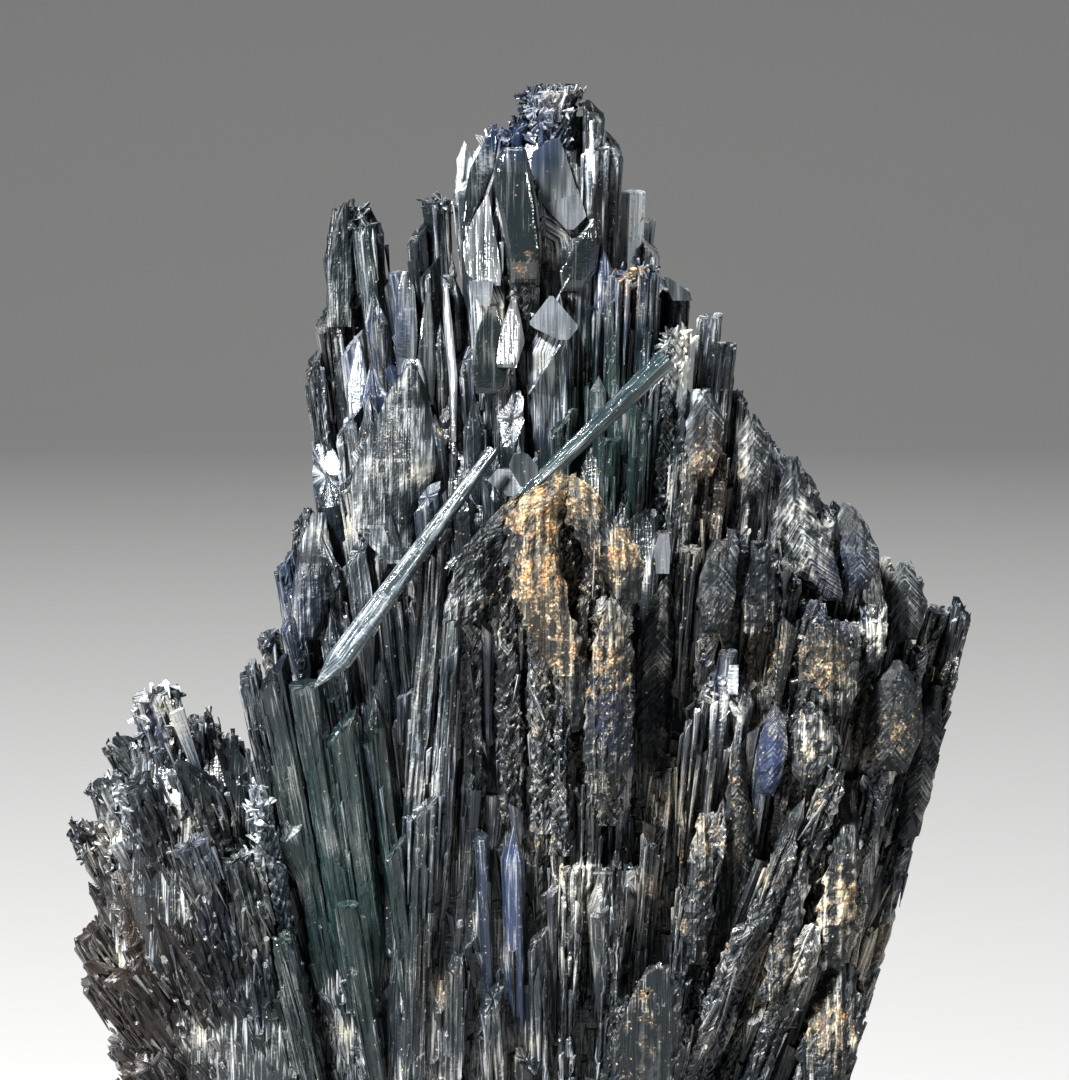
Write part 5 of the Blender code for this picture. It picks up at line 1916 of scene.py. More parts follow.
# The last number of each plate is its shade, which paints it paler or darker: partly tone, partly painted
# reflection.
PLATES = table(
    Leaf,
    (GLASS, ((74.2, 2.9, 3.4), (75.1, 2.0, 4.3), (76.2, 1.06, 3.95), (77.0, 0.7, 3.7)), 0.0, 0.45, -0.14,
     0.36, 0.8),
    (GLASS, ((76.0, 1.1, 3.9), (77.8, 0.4, 3.37), (79.5, 0.48, 2.8), (80.5, 1.9, 2.41)), 0.0, 0.35, -0.10,
     0.22, 0.6),
    (GLASS, ((70.4, -3.0, -1.7), (71.2, -4.1, -1.64), (73.1, -4.35, -1.9), (75.1, -3.6, -2.3),
     (76.6, -2.7, -2.5)), 0.0, 0.4, -0.34, 0.20, 0.7),
    (GLASS, ((68.8, -2.7, -2.5), (69.7, -3.6, -2.3), (70.7, -3.9, -2.2)), 0.0, 0.5, -0.10, 0.30, 0.8),
    (GLASS, ((70.6, -2.1, -1.7), (71.6, -2.3, -1.5), (73.4, -2.0, -1.5)), 0.0, 0.7, -0.1, 0.45, 1.0),
    (GLASS, ((66.7, 2.4, 3.0), (67.6, 0.4, 3.76), (67.9, 0.29, 3.5), (69.7, 1.7, 1.95)), 0.0, 0.7, -0.12,
     0.30, 0.8),
    (GLASS, ((73.5, -4.5, -4.2), (76.6, -4.2, -2.9), (78.5, -3.8, -2.1), (80.0, -3.0, -1.9),
     (81.1, -2.3, -2.0)), 0.25, 0.4, 0.15, 0.05, 0.15),
    (GLASS, ((74.8, -3.1, -2.9), (76.6, -2.8, -2.5), (78.5, -2.1, -1.85), (80.6, -1.8, -1.65)), 0.1, 0.7,
     -0.5, 0.25, 0.6),
    (GLASS, ((70.4, -1.0, 1.0), (73.0, -1.4, 1.2), (76.0, -2.0, 0.9), (78.6, -2.2, 0.4), (80.0, -1.6, 0.0)),
     0.9, 0.3, 0.0, 0.05, 0.1),
    (GLASS, ((77.4, 4.8, 4.95), (79.0, 4.5, 4.85), (81.8, 4.5, 4.7)), 0.0, 0.5, -0.44, 0.08, 0.7),
    (GLASS, ((69.9, 2.4, 2.5), (71.7, 3.4, 3.55), (73.5, 4.45, 4.55)), 0.0, 0.9, -0.20, 0.45, 0.7),
    (GLASS, ((70.0, 2.6, 4.0), (71.4, 2.4, 5.0), (73.2, 3.6, 5.2), (74.4, 4.4, 5.0)), 0.2, 0.4, 0.4, 0.0,
     0.1),
    (GLASS, ((75.8, -5.2, -4.7), (78.0, -4.8, -4.3), (80.1, -4.3, -4.1)), 0.05, 0.3, -0.44, 0.06, 0.7),
    (GLASS, ((69.3, 10.3, 11.7), (70.0, 10.0, 11.3), (70.9, 9.7, 10.0)), 0.0, 0.5, 0.1, 0.4, 0.6),
    (GLASS, ((63.0, 0.2, 0.34), (65.2, 1.55, 1.75), (67.2, 2.95, 3.1)), 0.0, 0.7, -0.20, 0.45, 0.7),
    (GLASS, ((63.0, -3.4, -1.6), (65.5, -3.8, -0.9), (67.6, -3.2, -1.4), (69.0, -2.6, -2.0)), 0.15, 0.2, 0.3,
     0.1, 0.2),
    (GLASS, ((64.8, -2.0, -0.6), (66.6, -2.2, 0.0), (68.2, -1.4, -0.3), (69.6, -0.9, -0.6)), 0.1, 0.4, -0.4,
     0.2, 0.5),
    (GLASS, ((56.2, -1.2, -0.6), (57.2, -2.6, 0.2), (58.0, -1.9, 0.5)), 0.0, 0.9, -0.20, 0.42, 0.8),
    (GLASS, ((57.0, -0.3, 0.9), (58.4, -1.1, 0.9), (59.2, -0.8, 0.2)), 0.0, 1.0, 0.0, 0.30, 0.6),
    (GLASS, ((56.8, -13.8, -13.2), (57.4, -14.3, -13.0), (58.4, -13.9, -13.4)), 0.0, 0.5, -0.3, 0.5, 0.9),
    (GLASS, ((60.0, -12.4, -11.2), (63.0, -12.6, -11.0), (65.4, -12.0, -11.4), (66.4, -11.8, -11.6)), 0.1,
     0.3, -0.4, 0.1, 0.7),
    (GLASS, ((64.0, -8.9, -7.7), (67.0, -9.1, -7.5), (70.0, -9.0, -7.7), (71.3, -8.6, -8.2)), 0.1, 0.5, -0.4,
     0.0, 0.4),
    (GLASS, ((59.6, -5.1, -4.8), (64.0, -5.3, -4.7), (68.0, -5.7, -5.1), (70.5, -5.7, -5.4)), 0.1, 0.5, -0.36,
     0.15, 0.9),
    (GLASS, ((62.0, -7.4, -6.4), (65.0, -7.5, -6.2), (68.0, -7.2, -6.4), (69.8, -6.9, -6.6)), 0.1, 0.4, 0.3,
     0.1, 0.5),
    (GLASS, ((51.0, 9.0, 9.9), (52.6, 8.9, 10.0), (53.7, 9.2, 9.9)), 0.0, 0.6, -0.3, 0.2, 1.0),
    (GLASS, ((43.0, 13.9, 14.5), (43.8, 13.8, 14.6), (44.9, 14.0, 14.6)), 0.0, 0.8, -0.26, 0.5, 1.0),
    (GLASS, ((31.0, 4.6, 5.9), (31.14, 4.7, 6.0)), 0.0, 0.8, -0.2, 0.5, 0.6),
    (GLASS, ((31.3, 6.8, 7.3), (31.42, 6.8, 7.4)), 0.0, 0.8, -0.2, 0.5, 0.6),
    (GLASS, ((28.1, 4.9, 5.4), (28.22, 5.0, 5.5)), 0.0, 0.8, -0.2, 0.5, 0.6),
)
LEAVES = table(
    Leaf,
    (FEATHER, ((36.0, 16.0, 17.0), (38.6, 15.9, 17.9), (41.0, 16.4, 17.9), (42.0, 16.9, 17.4)), 0.3, 0.5,
     -0.3, 0.1),
    (MATT, ((51.6, -9.4, -8.2), (53.8, -12.0, -7.6), (57.5, -12.0, -6.2), (61.0, -10.4, -6.4),
     (63.4, -9.2, -7.0), (65.0, -8.1, -7.7)), 0.7, 0.4, 0.05, 0.06),
    (MATT, ((67.0, -14.0, -12.4), (71.0, -14.2, -12.2), (74.5, -13.6, -12.4), (75.8, -12.9, -12.6)), 0.4, 0.3,
     0.3, 0.0),
    (FEATHER, ((56.2, 15.2, 16.4), (58.6, 14.7, 16.9), (60.4, 14.8, 16.6), (61.7, 15.4, 15.9)), 0.4, 0.4, 0.2,
     0.1),
    (FEATHER, ((48.8, 20.8, 22.0), (51.4, 18.0, 21.6), (54.0, 17.4, 20.6), (56.6, 17.6, 19.4),
     (58.8, 18.3, 18.8)), 0.6, 0.5, 0.1, 0.12),
    (FEATHER, ((38.0, 8.0, 9.8), (42.0, 7.5, 10.2), (46.4, 7.9, 10.2), (49.4, 8.9, 10.1), (50.8, 9.6, 9.9)),
     0.5, 0.3, 0.25, 0.06),
    (FEATHER, ((37.0, 24.2, 26.4), (39.4, 23.5, 27.4), (41.6, 23.6, 27.5), (43.4, 24.2, 27.0),
     (44.6, 25.2, 26.2)), 0.8, 0.5, 0.0, 0.1),
    (FEATHER, ((28.0, 14.2, 15.4), (32.0, 13.6, 16.0), (36.0, 13.8, 15.4), (39.4, 14.4, 14.8)), 0.5, 0.4, 0.2,
     0.06),
    (CRUST, ((41.0, 20.2, 22.0), (43.0, 19.0, 23.0), (45.6, 18.8, 22.6), (47.8, 19.4, 21.4)), 0.9, 0.3, 0.0,
     0.1),
    (CRUST, ((36.6, 18.8, 20.4), (38.4, 18.0, 21.2), (40.4, 18.2, 21.2), (41.8, 18.8, 20.4)), 0.7, 0.4, 0.0,
     0.1),
    (CRUST, ((44.0, 22.8, 24.2), (46.6, 22.9, 25.2), (49.0, 23.4, 25.0), (50.4, 23.9, 24.5)), 0.6, 0.4, 0.0,
     0.1),
    (CRUST, ((15.0, 19.0, 21.6), (18.6, 18.8, 22.6), (22.0, 19.8, 23.0), (24.6, 21.0, 22.4)), 1.0, 0.4, 0.0,
     0.1),
    (CRUST, ((24.0, 19.6, 21.6), (28.0, 20.0, 22.6), (32.0, 20.8, 23.0), (36.4, 21.8, 22.8)), 0.9, 0.4, 0.0,
     0.06),
    (CRUST, ((14.0, 5.4, 7.0), (17.0, 5.6, 10.6), (20.6, 6.2, 10.8), (23.4, 7.6, 10.2), (24.8, 8.6, 9.6)),
     1.0, 0.5, 0.0, 0.06),
    (CRUST, ((22.0, 16.0, 17.4), (26.0, 16.8, 18.6), (30.0, 18.0, 19.4), (32.4, 18.8, 19.2)), 0.6, 0.4, 0.0,
     0.06),
    (FEATHER, ((49.6, 22.6, 23.8), (51.6, 22.0, 24.6), (53.6, 21.7, 23.9), (55.2, 22.0, 22.7)), 0.4, 0.5,
     0.15, 0.1),
    (FEATHER, ((45.4, 25.6, 27.4), (47.6, 25.2, 28.2), (49.4, 25.4, 27.8), (50.9, 26.2, 27.0)), 0.5, 0.4, 0.2,
     0.1),
    (FEATHER, ((57.4, 11.4, 12.9), (59.4, 11.0, 13.6), (61.4, 11.3, 13.8), (63.0, 12.0, 13.0)), 0.4, 0.4,
     0.15, 0.1),
    (FEATHER, ((47.0, 12.2, 13.6), (49.2, 11.8, 14.4), (51.4, 12.2, 14.6), (53.2, 13.0, 13.9)), 0.5, 0.4, 0.2,
     0.1),
    (CRUST, ((46.6, 15.2, 17.0), (48.8, 14.8, 17.6), (51.0, 15.1, 17.4), (52.8, 15.8, 16.8)), 0.6, 0.4, 0.1,
     0.1),
    (FEATHER, ((32.0, 26.0, 27.4), (35.4, 26.4, 28.4), (38.8, 27.4, 29.2), (42.0, 28.6, 29.4)), 0.6, 0.4, 0.2,
     0.05),
    (CRUST, ((24.6, 11.0, 12.4), (28.0, 10.8, 12.9), (31.4, 11.2, 13.0), (34.6, 12.0, 12.8)), 0.6, 0.4, 0.1,
     0.06),
    (MATT, ((46.0, -15.6, -14.2), (49.0, -16.2, -13.6), (52.0, -15.8, -13.4), (54.4, -14.9, -14.0)), 0.5, 0.4,
     0.1, 0.08, 0.3),
)
HOOD = table(
    Leaf,
    (CRUST, ((44.4, 2.4, 3.4), (46.4, 0.8, 3.8), (49.6, -0.6, 3.0), (53.0, -1.4, 2.4), (55.6, -1.1, 2.4),
     (57.2, 0.4, 3.2), (57.9, 2.0, 3.2)), 1.4, 0.5, 0.1, 0.10),
    (CRUST, ((49.6, 6.6, 7.8), (51.2, 5.2, 8.1), (53.2, 3.8, 7.7), (55.2, 2.9, 6.2), (56.8, 2.5, 4.9),
     (57.8, 2.9, 3.7)), 1.2, 0.6, -0.15, 0.12),
    (CRUST, ((48.0, -5.4, -3.4), (50.6, -5.0, -1.6), (53.0, -4.4, -0.6), (55.0, -2.4, 0.0),
     (56.6, -0.9, 0.6)), 0.5, 0.3, 0.3, 0.2),
    (CRUST, ((36.0, 4.6, 6.4), (39.0, 4.2, 7.2), (43.0, 4.1, 7.4), (46.4, 4.5, 7.1), (48.6, 5.2, 6.6),
     (49.8, 5.7, 6.2)), 0.9, 0.5, 0.05, 0.06),
    (CRUST, ((40.6, 3.2, 4.2), (43.0, 2.6, 4.4), (45.6, 2.2, 4.4), (47.6, 2.8, 4.4), (49.4, 3.6, 4.2)), 0.8,
     0.4, 0.15, 0.06),
)


@dataclass
class Leaves:
    """Broad flat crystals of the front as one piece."""

    name: str
    leaves: Sequence[Leaf]
    finish: MineralFinish

    def build(self, cluster: "Cluster") -> bpy.types.Object:
        """Builds the leaves.

        Args:
            cluster: The cluster they lie on.

        Returns:
            The piece, with its finish.
        """
        mesh = Grained()
        for number, leaf in enumerate(self.leaves):
            leaf.build(cluster, number + len(self.name), mesh)
        piece = mesh.build(self.name)
        bpy.context.scene.collection.objects.link(piece)
        piece.data.materials.append(cluster.material(self.finish))
        return finished(piece)


@dataclass
class Stand:
    """A stand of crystals that grew together, with one habit and a few crystals of their own."""

    name: str = "stand"
    blades: Sequence[Blade] = ()
    habit: Habit = FLUTED
    special: dict[int, Habit] = field(default_factory=dict)
    splay: float = 1.0
    seed: int = 1
    finish: MineralFinish = MineralFinish()
    pitch: float = 0.24
    flaking: float = 1.0
    crystals: list[Crystal] = field(default_factory=list)
    first: int = 0

    def root(self, blade: Blade) -> np.ndarray:
        """The point that a blade grows away from."""
        return FAN_ROOT

    def habit_of(self, index: int) -> Habit:
        """The habit of one crystal of the stand."""
        return self.special.get(index, self.habit)

    def work_out(self, shape: random.Random, first: int) -> int:
        """Works out the stand's crystals.

        Args:
            shape: The source of their small irregularities.
            first: The number of the stand's first crystal in the cluster.

        Returns:
            The number of the next stand's first crystal.
        """
        self.first = first
        self.crystals = [grown(blade, self.root(blade), shape) for blade in self.blades]
        return first + len(self.crystals)

    def build(self, cluster: "Cluster") -> bpy.types.Object:
        """Builds the stand's piece.

        Args:
            cluster: The cluster it belongs to.

        Returns:
            The piece, with its finish.
        """
        rng = np.random.default_rng(SEED * 100 + self.seed)
        laths: list[Lath] = []
        flakes: list[Lath] = []
        hearts = Hearts(pitch=self.pitch)
        for index, crystal in enumerate(self.crystals):
            bundle = Bundle(self.habit_of(index), rng)
            number = self.first + index
            if bundle.habit.bare < 1.0:
                laths += bundle.sides(crystal, number)
            shade = float(rng.random())
            if bundle.habit.ridge:
                hearts.add_column(crystal, bundle.habit, shade, cluster.lowest_seen(number))
            else:
                hearts.add_prism(crystal, shade)
            for spot, normal in zip(*cluster.spots_on(number, bundle.habit.flakes * self.flaking)):
                flakes += bundle.flakes(crystal, spot, normal, number)
        if laths:
            laths = [lath for lath, hidden in zip(laths, cluster.buried(laths)) if not hidden]
        return cluster.dressed(self.name, laths + flakes, hearts, self.splay, self.seed, self.finish)


@dataclass
class Slanting(Stand):
    """The two clear blades that lie slanting across the front."""

    name: str = "slanting_blades"
    blades: Sequence[Blade] = SLANTING
    habit: Habit = GLASSY
    splay: float = 0.2
    seed: int = 13
    finish: MineralFinish = CLEAR_FINISH
    narrow: float = 0.45
    slim: float = 0.92
    forward: float = 0.9
    solid: list[Crystal] = field(default_factory=list)

    def work_out(self, shape: random.Random, first: int) -> int:
        """Works out the two blades, which narrow to their feet and lie just in front of the solid's two.

        Args:
            shape: The source of their small irregularities.
            first: The number of the first blade in the cluster.

        Returns:
            The number of the next stand's first crystal.
        """
        following = super().work_out(shape, first)
        self.solid = [replace(crystal) for crystal in self.crystals]
        for crystal in self.crystals:
            crystal.taper = self.narrow
            crystal.corners = crystal.corners * self.slim
            crystal.tip = crystal.tip + np.array((0.0, -self.forward, 0.0))
        return following


@dataclass
class FarSide(Stand):
    """The rows of blades of the far side."""

    name: str = "far_side"
    habit: Habit = FLUTED
    splay: float = 1.0
    seed: int = 14
    flaking: float = 0.3
    pitch: float = 0.60
    choices: Sequence[Habit] = (SPLINTERY, FLUTED, CLEAN, WEATHERED, SHAGGY, CLEAN)

    def habit_of(self, index: int) -> Habit:
        """The habit of one blade, which runs in small groups."""
        return self.choices[(index // 3 * 5 + index // 11) % len(self.choices)]


@dataclass
class Lobe(Stand):
    """The low lobe of radiating fibres on the left."""

    name: str = "lobe"
    habit: Habit = FIBROUS
    splay: float = 4.0
    seed: int = 15
    pitch: float = 0.36
    finish: MineralFinish = FIBROUS_FINISH

    def root(self, blade: Blade) -> np.ndarray:
        """The spot inside the foot that the fibres grow away from."""
        return LOBE_ROOT + np.array((0.0, 0.3 * blade.y, 0.0))


def stands(shape: random.Random) -> list[Stand]:
    """The cluster's stands, in the order that the solid has them.

    Args:
        shape: The source of the far side's small irregularities.

    Returns:
        The stands.
    """
    return [
        # The glassy crystals at the top, and the many small pointed ones left of them.
        Stand("crown", CROWN, GLASSY, {
            0: KNOBBLY, 1: CLEAN, 2: CLEAN, 3: CLEAN, 8: CLEAN, 12: KNOBBLY, 16: CLEAN, 19: WEATHERED,
        }, 0.4, 1),
        Stand("upper_left", UPPER_LEFT, CLEAN, {
            0: WEATHERED, 2: SPLINTERY, 3: WEATHERED, 7: GLASSY, 15: GLASSY, 16: KNOBBLY, 23: SPLINTERY,
        }, 0.8, 2, DARK_FINISH, 0.32),
        # The stepped crystals down the left edge, and the long smooth green blades low on the left.
        Stand("left_slope", LEFT_SLOPE, SPLINTERY, {
            2: WEATHERED, 3: WEATHERED, 4: CLEAN, 6: FLUTED, 7: SHAGGY,
        }, 1.4, 3, DARK_FINISH),
        Stand("left_panel", LEFT_PANEL, CLEAN, {6: KNOBBLY, 7: SPLINTERY}, 0.3, 4, PANEL_FINISH),
        # The striated panel in the middle of the front, and the ochre shoulder that stands out of it.
        Stand("front_panel", FRONT_PANEL, FLUTED, {5: GLASSY, 6: GLASSY}, 0.5, 5, DARK_FINISH),
        Stand("shoulder", SHOULDER, KNOBBLY, {}, 3.0, 6),
        # The dark fluted wall below the crown, and the banded white tower with its dark columns.
        Stand("mid_panel", MID_PANEL, FLUTED, {}, 0.3, 7, DARK_FINISH),
        Stand("tower", TOWER, FLUTED, {0: KNOBBLY, 4: WEATHERED, 5: WEATHERED}, 0.6, 8),
        # The stepped crystals down the right edge, and the broken, rust-stained ones of the right front.
        Stand("right_slope", RIGHT_SLOPE, SPLINTERY, {
            1: WEATHERED, 3: SHAGGY, 4: WEATHERED, 5: SHAGGY, 7: FLUTED, 8: WEATHERED, 10: WEATHERED,
            11: SHAGGY, 12: SHAGGY, 13: WEATHERED, 15: SHAGGY, 16: SHAGGY, 17: SHAGGY,
        }, 1.6, 9),
        Stand("right_front", RIGHT_FRONT, SHAGGY, {
            0: FLUTED, 7: CLEAN, 8: WEATHERED, 9: SPLINTERY, 10: CLEAN, 13: WEATHERED,
        }, 2.4, 10),
        # The columns low in the middle, and the fibrous bundles low on the right, which lean across the fan.
        Stand("lower_front", LOWER_FRONT, WEATHERED, {
            1: SPLINTERY, 4: SPLINTERY, 7: FLUTED, 9: SHAGGY,
        }, 1.2, 11),
        Stand("lower_right", LOWER_RIGHT, SHAGGY, {}, 3.4, 12),
        Slanting(),
        FarSide(blades=far_blades(shape)),
        Lobe(blades=lobe_blades()),
    ]


@dataclass
class Infill:
    """Thin crystals in the crevices between the blades, and flakes on the body where it shows."""

    name: str = "infill"
    widest: float = 2.4
    aloof: float = 0.6
    density: float = 0.07
    seed: int = 16
    habit: Habit = Habit(lath=0.5, run=5.0, flakes=0.9, proud=0.25, askew=0.08, bare=0.0)
    # The darker fibrous finish makes the crevice crystals and body flakes dark, which paints shade into the
    # crevices.
    finish: MineralFinish = FIBROUS_FINISH

    def build(self, cluster: "Cluster") -> bpy.types.Object:
        """Builds the infill as one piece.

        Args:
            cluster: The cluster it belongs to.

        Returns:
            The piece, with its finish.
        """
        rng = np.random.default_rng(SEED * 100 + self.seed)
        laths: list[Lath] = []
        for spot, normal, owner in zip(*cluster.some_spots(self.density)):
            laths += self.filling(cluster, rng, spot, normal, int(owner))
        bundle = Bundle(self.habit, rng)
        for spot, normal in zip(*cluster.spots_on(-1, self.habit.flakes)):
            laths += bundle.flakes(cluster.stand_in(spot), spot, normal, -1)
        laths = [lath for lath in laths if cluster.skin.near(lath, self.aloof)]
        return cluster.dressed(self.name, laths, Hearts(), 1.0, self.seed, self.finish)

    def filling(
        self,
        cluster: "Cluster",
        rng: np.random.Generator,
        spot: np.ndarray,
        normal: np.ndarray,
        owner: int,
    ) -> list[Lath]:
        """The thin crystal in the crevice at a spot.

        Args:
            cluster: The cluster.
            rng: The source of chance.
            spot: A point of the surface.
            normal: The way it looks there.
            owner: The crystal that it belongs to, or -1.

        Returns:
            The thin crystal, or nothing where there is no crevice.
        """
        crystal = cluster.crystals[owner] if owner >= 0 else cluster.stand_in(spot)
        if abs(float(normal @ crystal.along)) > 0.4:
            return []
        gap = cluster.skin.gap(spot, normal, self.widest)
        across = (spot + normal * (gap + UNDER))[None]
        if gap < 0.15 or any(other.holds(across, -0.2)[0] for other in cluster.slanting):
            return []
        middle = spot + normal * gap / 2
        outward = np.cross(crystal.along, normal)
        away = middle - np.array((2.0 if middle[0] > -18.0 or middle[2] > 44.0 else -20.0, 1.5, middle[2]))
        if float(outward @ away) < 0.0:
            outward = -outward
        lean = crystal.along + normal * rng.normal(0.0, 0.04) + outward * rng.normal(0.0, 0.03)
        inward = -outward + normal * rng.normal(0.0, 0.35)
        length = rng.uniform(3.0, 11.0)
        above = min(length / 2, crystal.room(spot, 1.2))
        size = (gap * rng.uniform(0.7, 1.25) + 0.15, rng.uniform(0.7, 1.4), length)
        place = middle + crystal.along * above - outward * rng.uniform(0.0, 0.25)
        return [Lath.loose(rng, place, squared(lean, inward), size, owner)]


@dataclass(frozen=True)
class Mat(Patch):
    """A patch of tiny crystals, whose amount is how many grow on a square millimetre."""

    size: float = 0.34


MATS = table(
    Mat,
    (-1.6, 2.6, 81.6, 2.6, 2.2, 1.0, 0.40), (1.8, 4.0, 83.4, 2.6, 2.2, 1.0, 0.36),
    (7.4, 0.4, 71.2, 1.8, 1.6, 1.0, 0.34), (10.6, -4.4, 66.6, 1.6, 1.8, 1.0, 0.34),
    (-26.0, -1.0, 41.0, 4.2, 1.1, 1.0, 0.34), (-29.6, -2.6, 33.0, 3.0, 1.0, 1.8, 0.32),
    (20.6, -9.8, 44.6, 2.6, 1.5, 1.0, 0.34), (19.4, -11.4, 39.4, 1.9, 2.0, 1.0, 0.38),
    (24.0, -7.0, 47.6, 1.6, 1.8, 1.0, 0.34), (-18.8, -7.4, 36.0, 1.4, 1.8, 4.5, 0.36),
    (13.6, -11.2, 42.4, 1.8, 1.4, 1.0, 0.36), (1.0, -13.6, 49.0, 1.6, 1.2, 1.8, 0.28),
    (5.8, -14.0, 44.0, 1.4, 1.2, 2.4, 0.28), (20.6, -12.8, 20.0, 2.4, 1.2, 1.0, 0.32),
    (21.8, -12.0, 30.0, 1.8, 1.2, 2.4, 0.30), (8.2, -14.6, 20.0, 2.4, 1.0, 1.6, 0.32),
    (27.0, -4.0, 47.0, 2.0, 1.2, 1.0, 0.34), (-6.0, 6.0, 76.0, 1.4, 1.6, 1.0, 0.34),
    (-12.4, 9.6, 75.4, 1.8, 1.4, 1.0, 0.34),
)


@dataclass
class Druse:
    """Mats of tiny crystals that point every way, as one piece."""

    name: str = "druse"
    mats: Sequence[Mat] = MATS
    stretch: tuple[float, float] = (0.9, 2.4)
    seed: int = 17
    finish: MineralFinish = MineralFinish()

    def build(self, cluster: "Cluster") -> bpy.types.Object:
        """Builds the mats.

        Args:
            cluster: The cluster they grow on.

        Returns:
            The piece, with its finish.
        """
        rng = np.random.default_rng(SEED * 100 + self.seed)
        laths: list[Lath] = []
        for mat in self.mats:
            chosen = np.flatnonzero(mat.shares(cluster.spots) < 1.0)
            chosen = chosen[rng.random(len(chosen)) < mat.amount / cluster.densest]
            for spot, normal in zip(cluster.spots[chosen], cluster.normals[chosen]):
                lean = normal + rng.normal(0.0, 0.7, 3) + np.array((0.0, 0.0, 0.4))
                lean /= np.linalg.norm(lean)
                inward = np.cross(lean, rng.normal(0.0, 1.0, 3))
                inward /= np.linalg.norm(inward)
                width = mat.size * rng.uniform(0.5, 1.5)
                length = width * rng.uniform(*self.stretch)
                size = (width, width * rng.uniform(0.5, 0.9), length + 0.3)
                place = spot + lean * length * 0.7
                laths.append(Lath.loose(rng, place, (lean, inward), size, -1))
        return cluster.dressed(self.name, laths, Hearts(), 1.0, self.seed, self.finish)


@dataclass
class Core:
    """The dark bodies that fill the cluster behind its crystals."""

    name: str = "inner_mass"
    bodies: Sequence[Body] = (Body(BODY_LEVELS), Body(LOBE_BODY_LEVELS))
    finish: MineralFinish = MineralFinish()
    shade: float = 0.3
    dyeing: float = 0.4

    def build(self, cluster: "Cluster") -> bpy.types.Object:
        """Builds the bodies as closed lofts.

        Args:
            cluster: The cluster they belong to.

        Returns:
            The piece, with its finish.
        """
        points: list[tuple[float, float, float]] = []
        faces: list[list[int]] = []
        for body in self.bodies:
            start = len(points)
            levels = len(body.levels)
            for level in range(levels):
                points.extend(body.outline(level))
            faces.append([start + i for i in reversed(range(8))])
            for level in range(levels - 1):
                low = start + level * 8
                for i in range(8):
                    j = (i + 1) % 8
                    faces.append([low + i, low + j, low + 8 + j, low + 8 + i])
            faces.append([start + (levels - 1) * 8 + i for i in range(8)])
        mesh = plain_mesh(self.name, np.array(points) * MM, faces)
        spots = [(points[loop.vertex_index][0], points[loop.vertex_index][2]) for loop in mesh.loops]
        marked(mesh, "grain", "FLOAT2", "CORNER", spots)
        marked(mesh, "tint", "FLOAT", "POINT", [self.shade] * len(points))
        piece = bpy.data.objects.new(self.name, mesh)
        bpy.context.scene.collection.objects.link(piece)
        mesh.materials.append(cluster.material(self.finish))
        dyed(mesh, self.dyeing)
        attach(piece, BODY)
        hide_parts(CAD_NODE)
        return piece


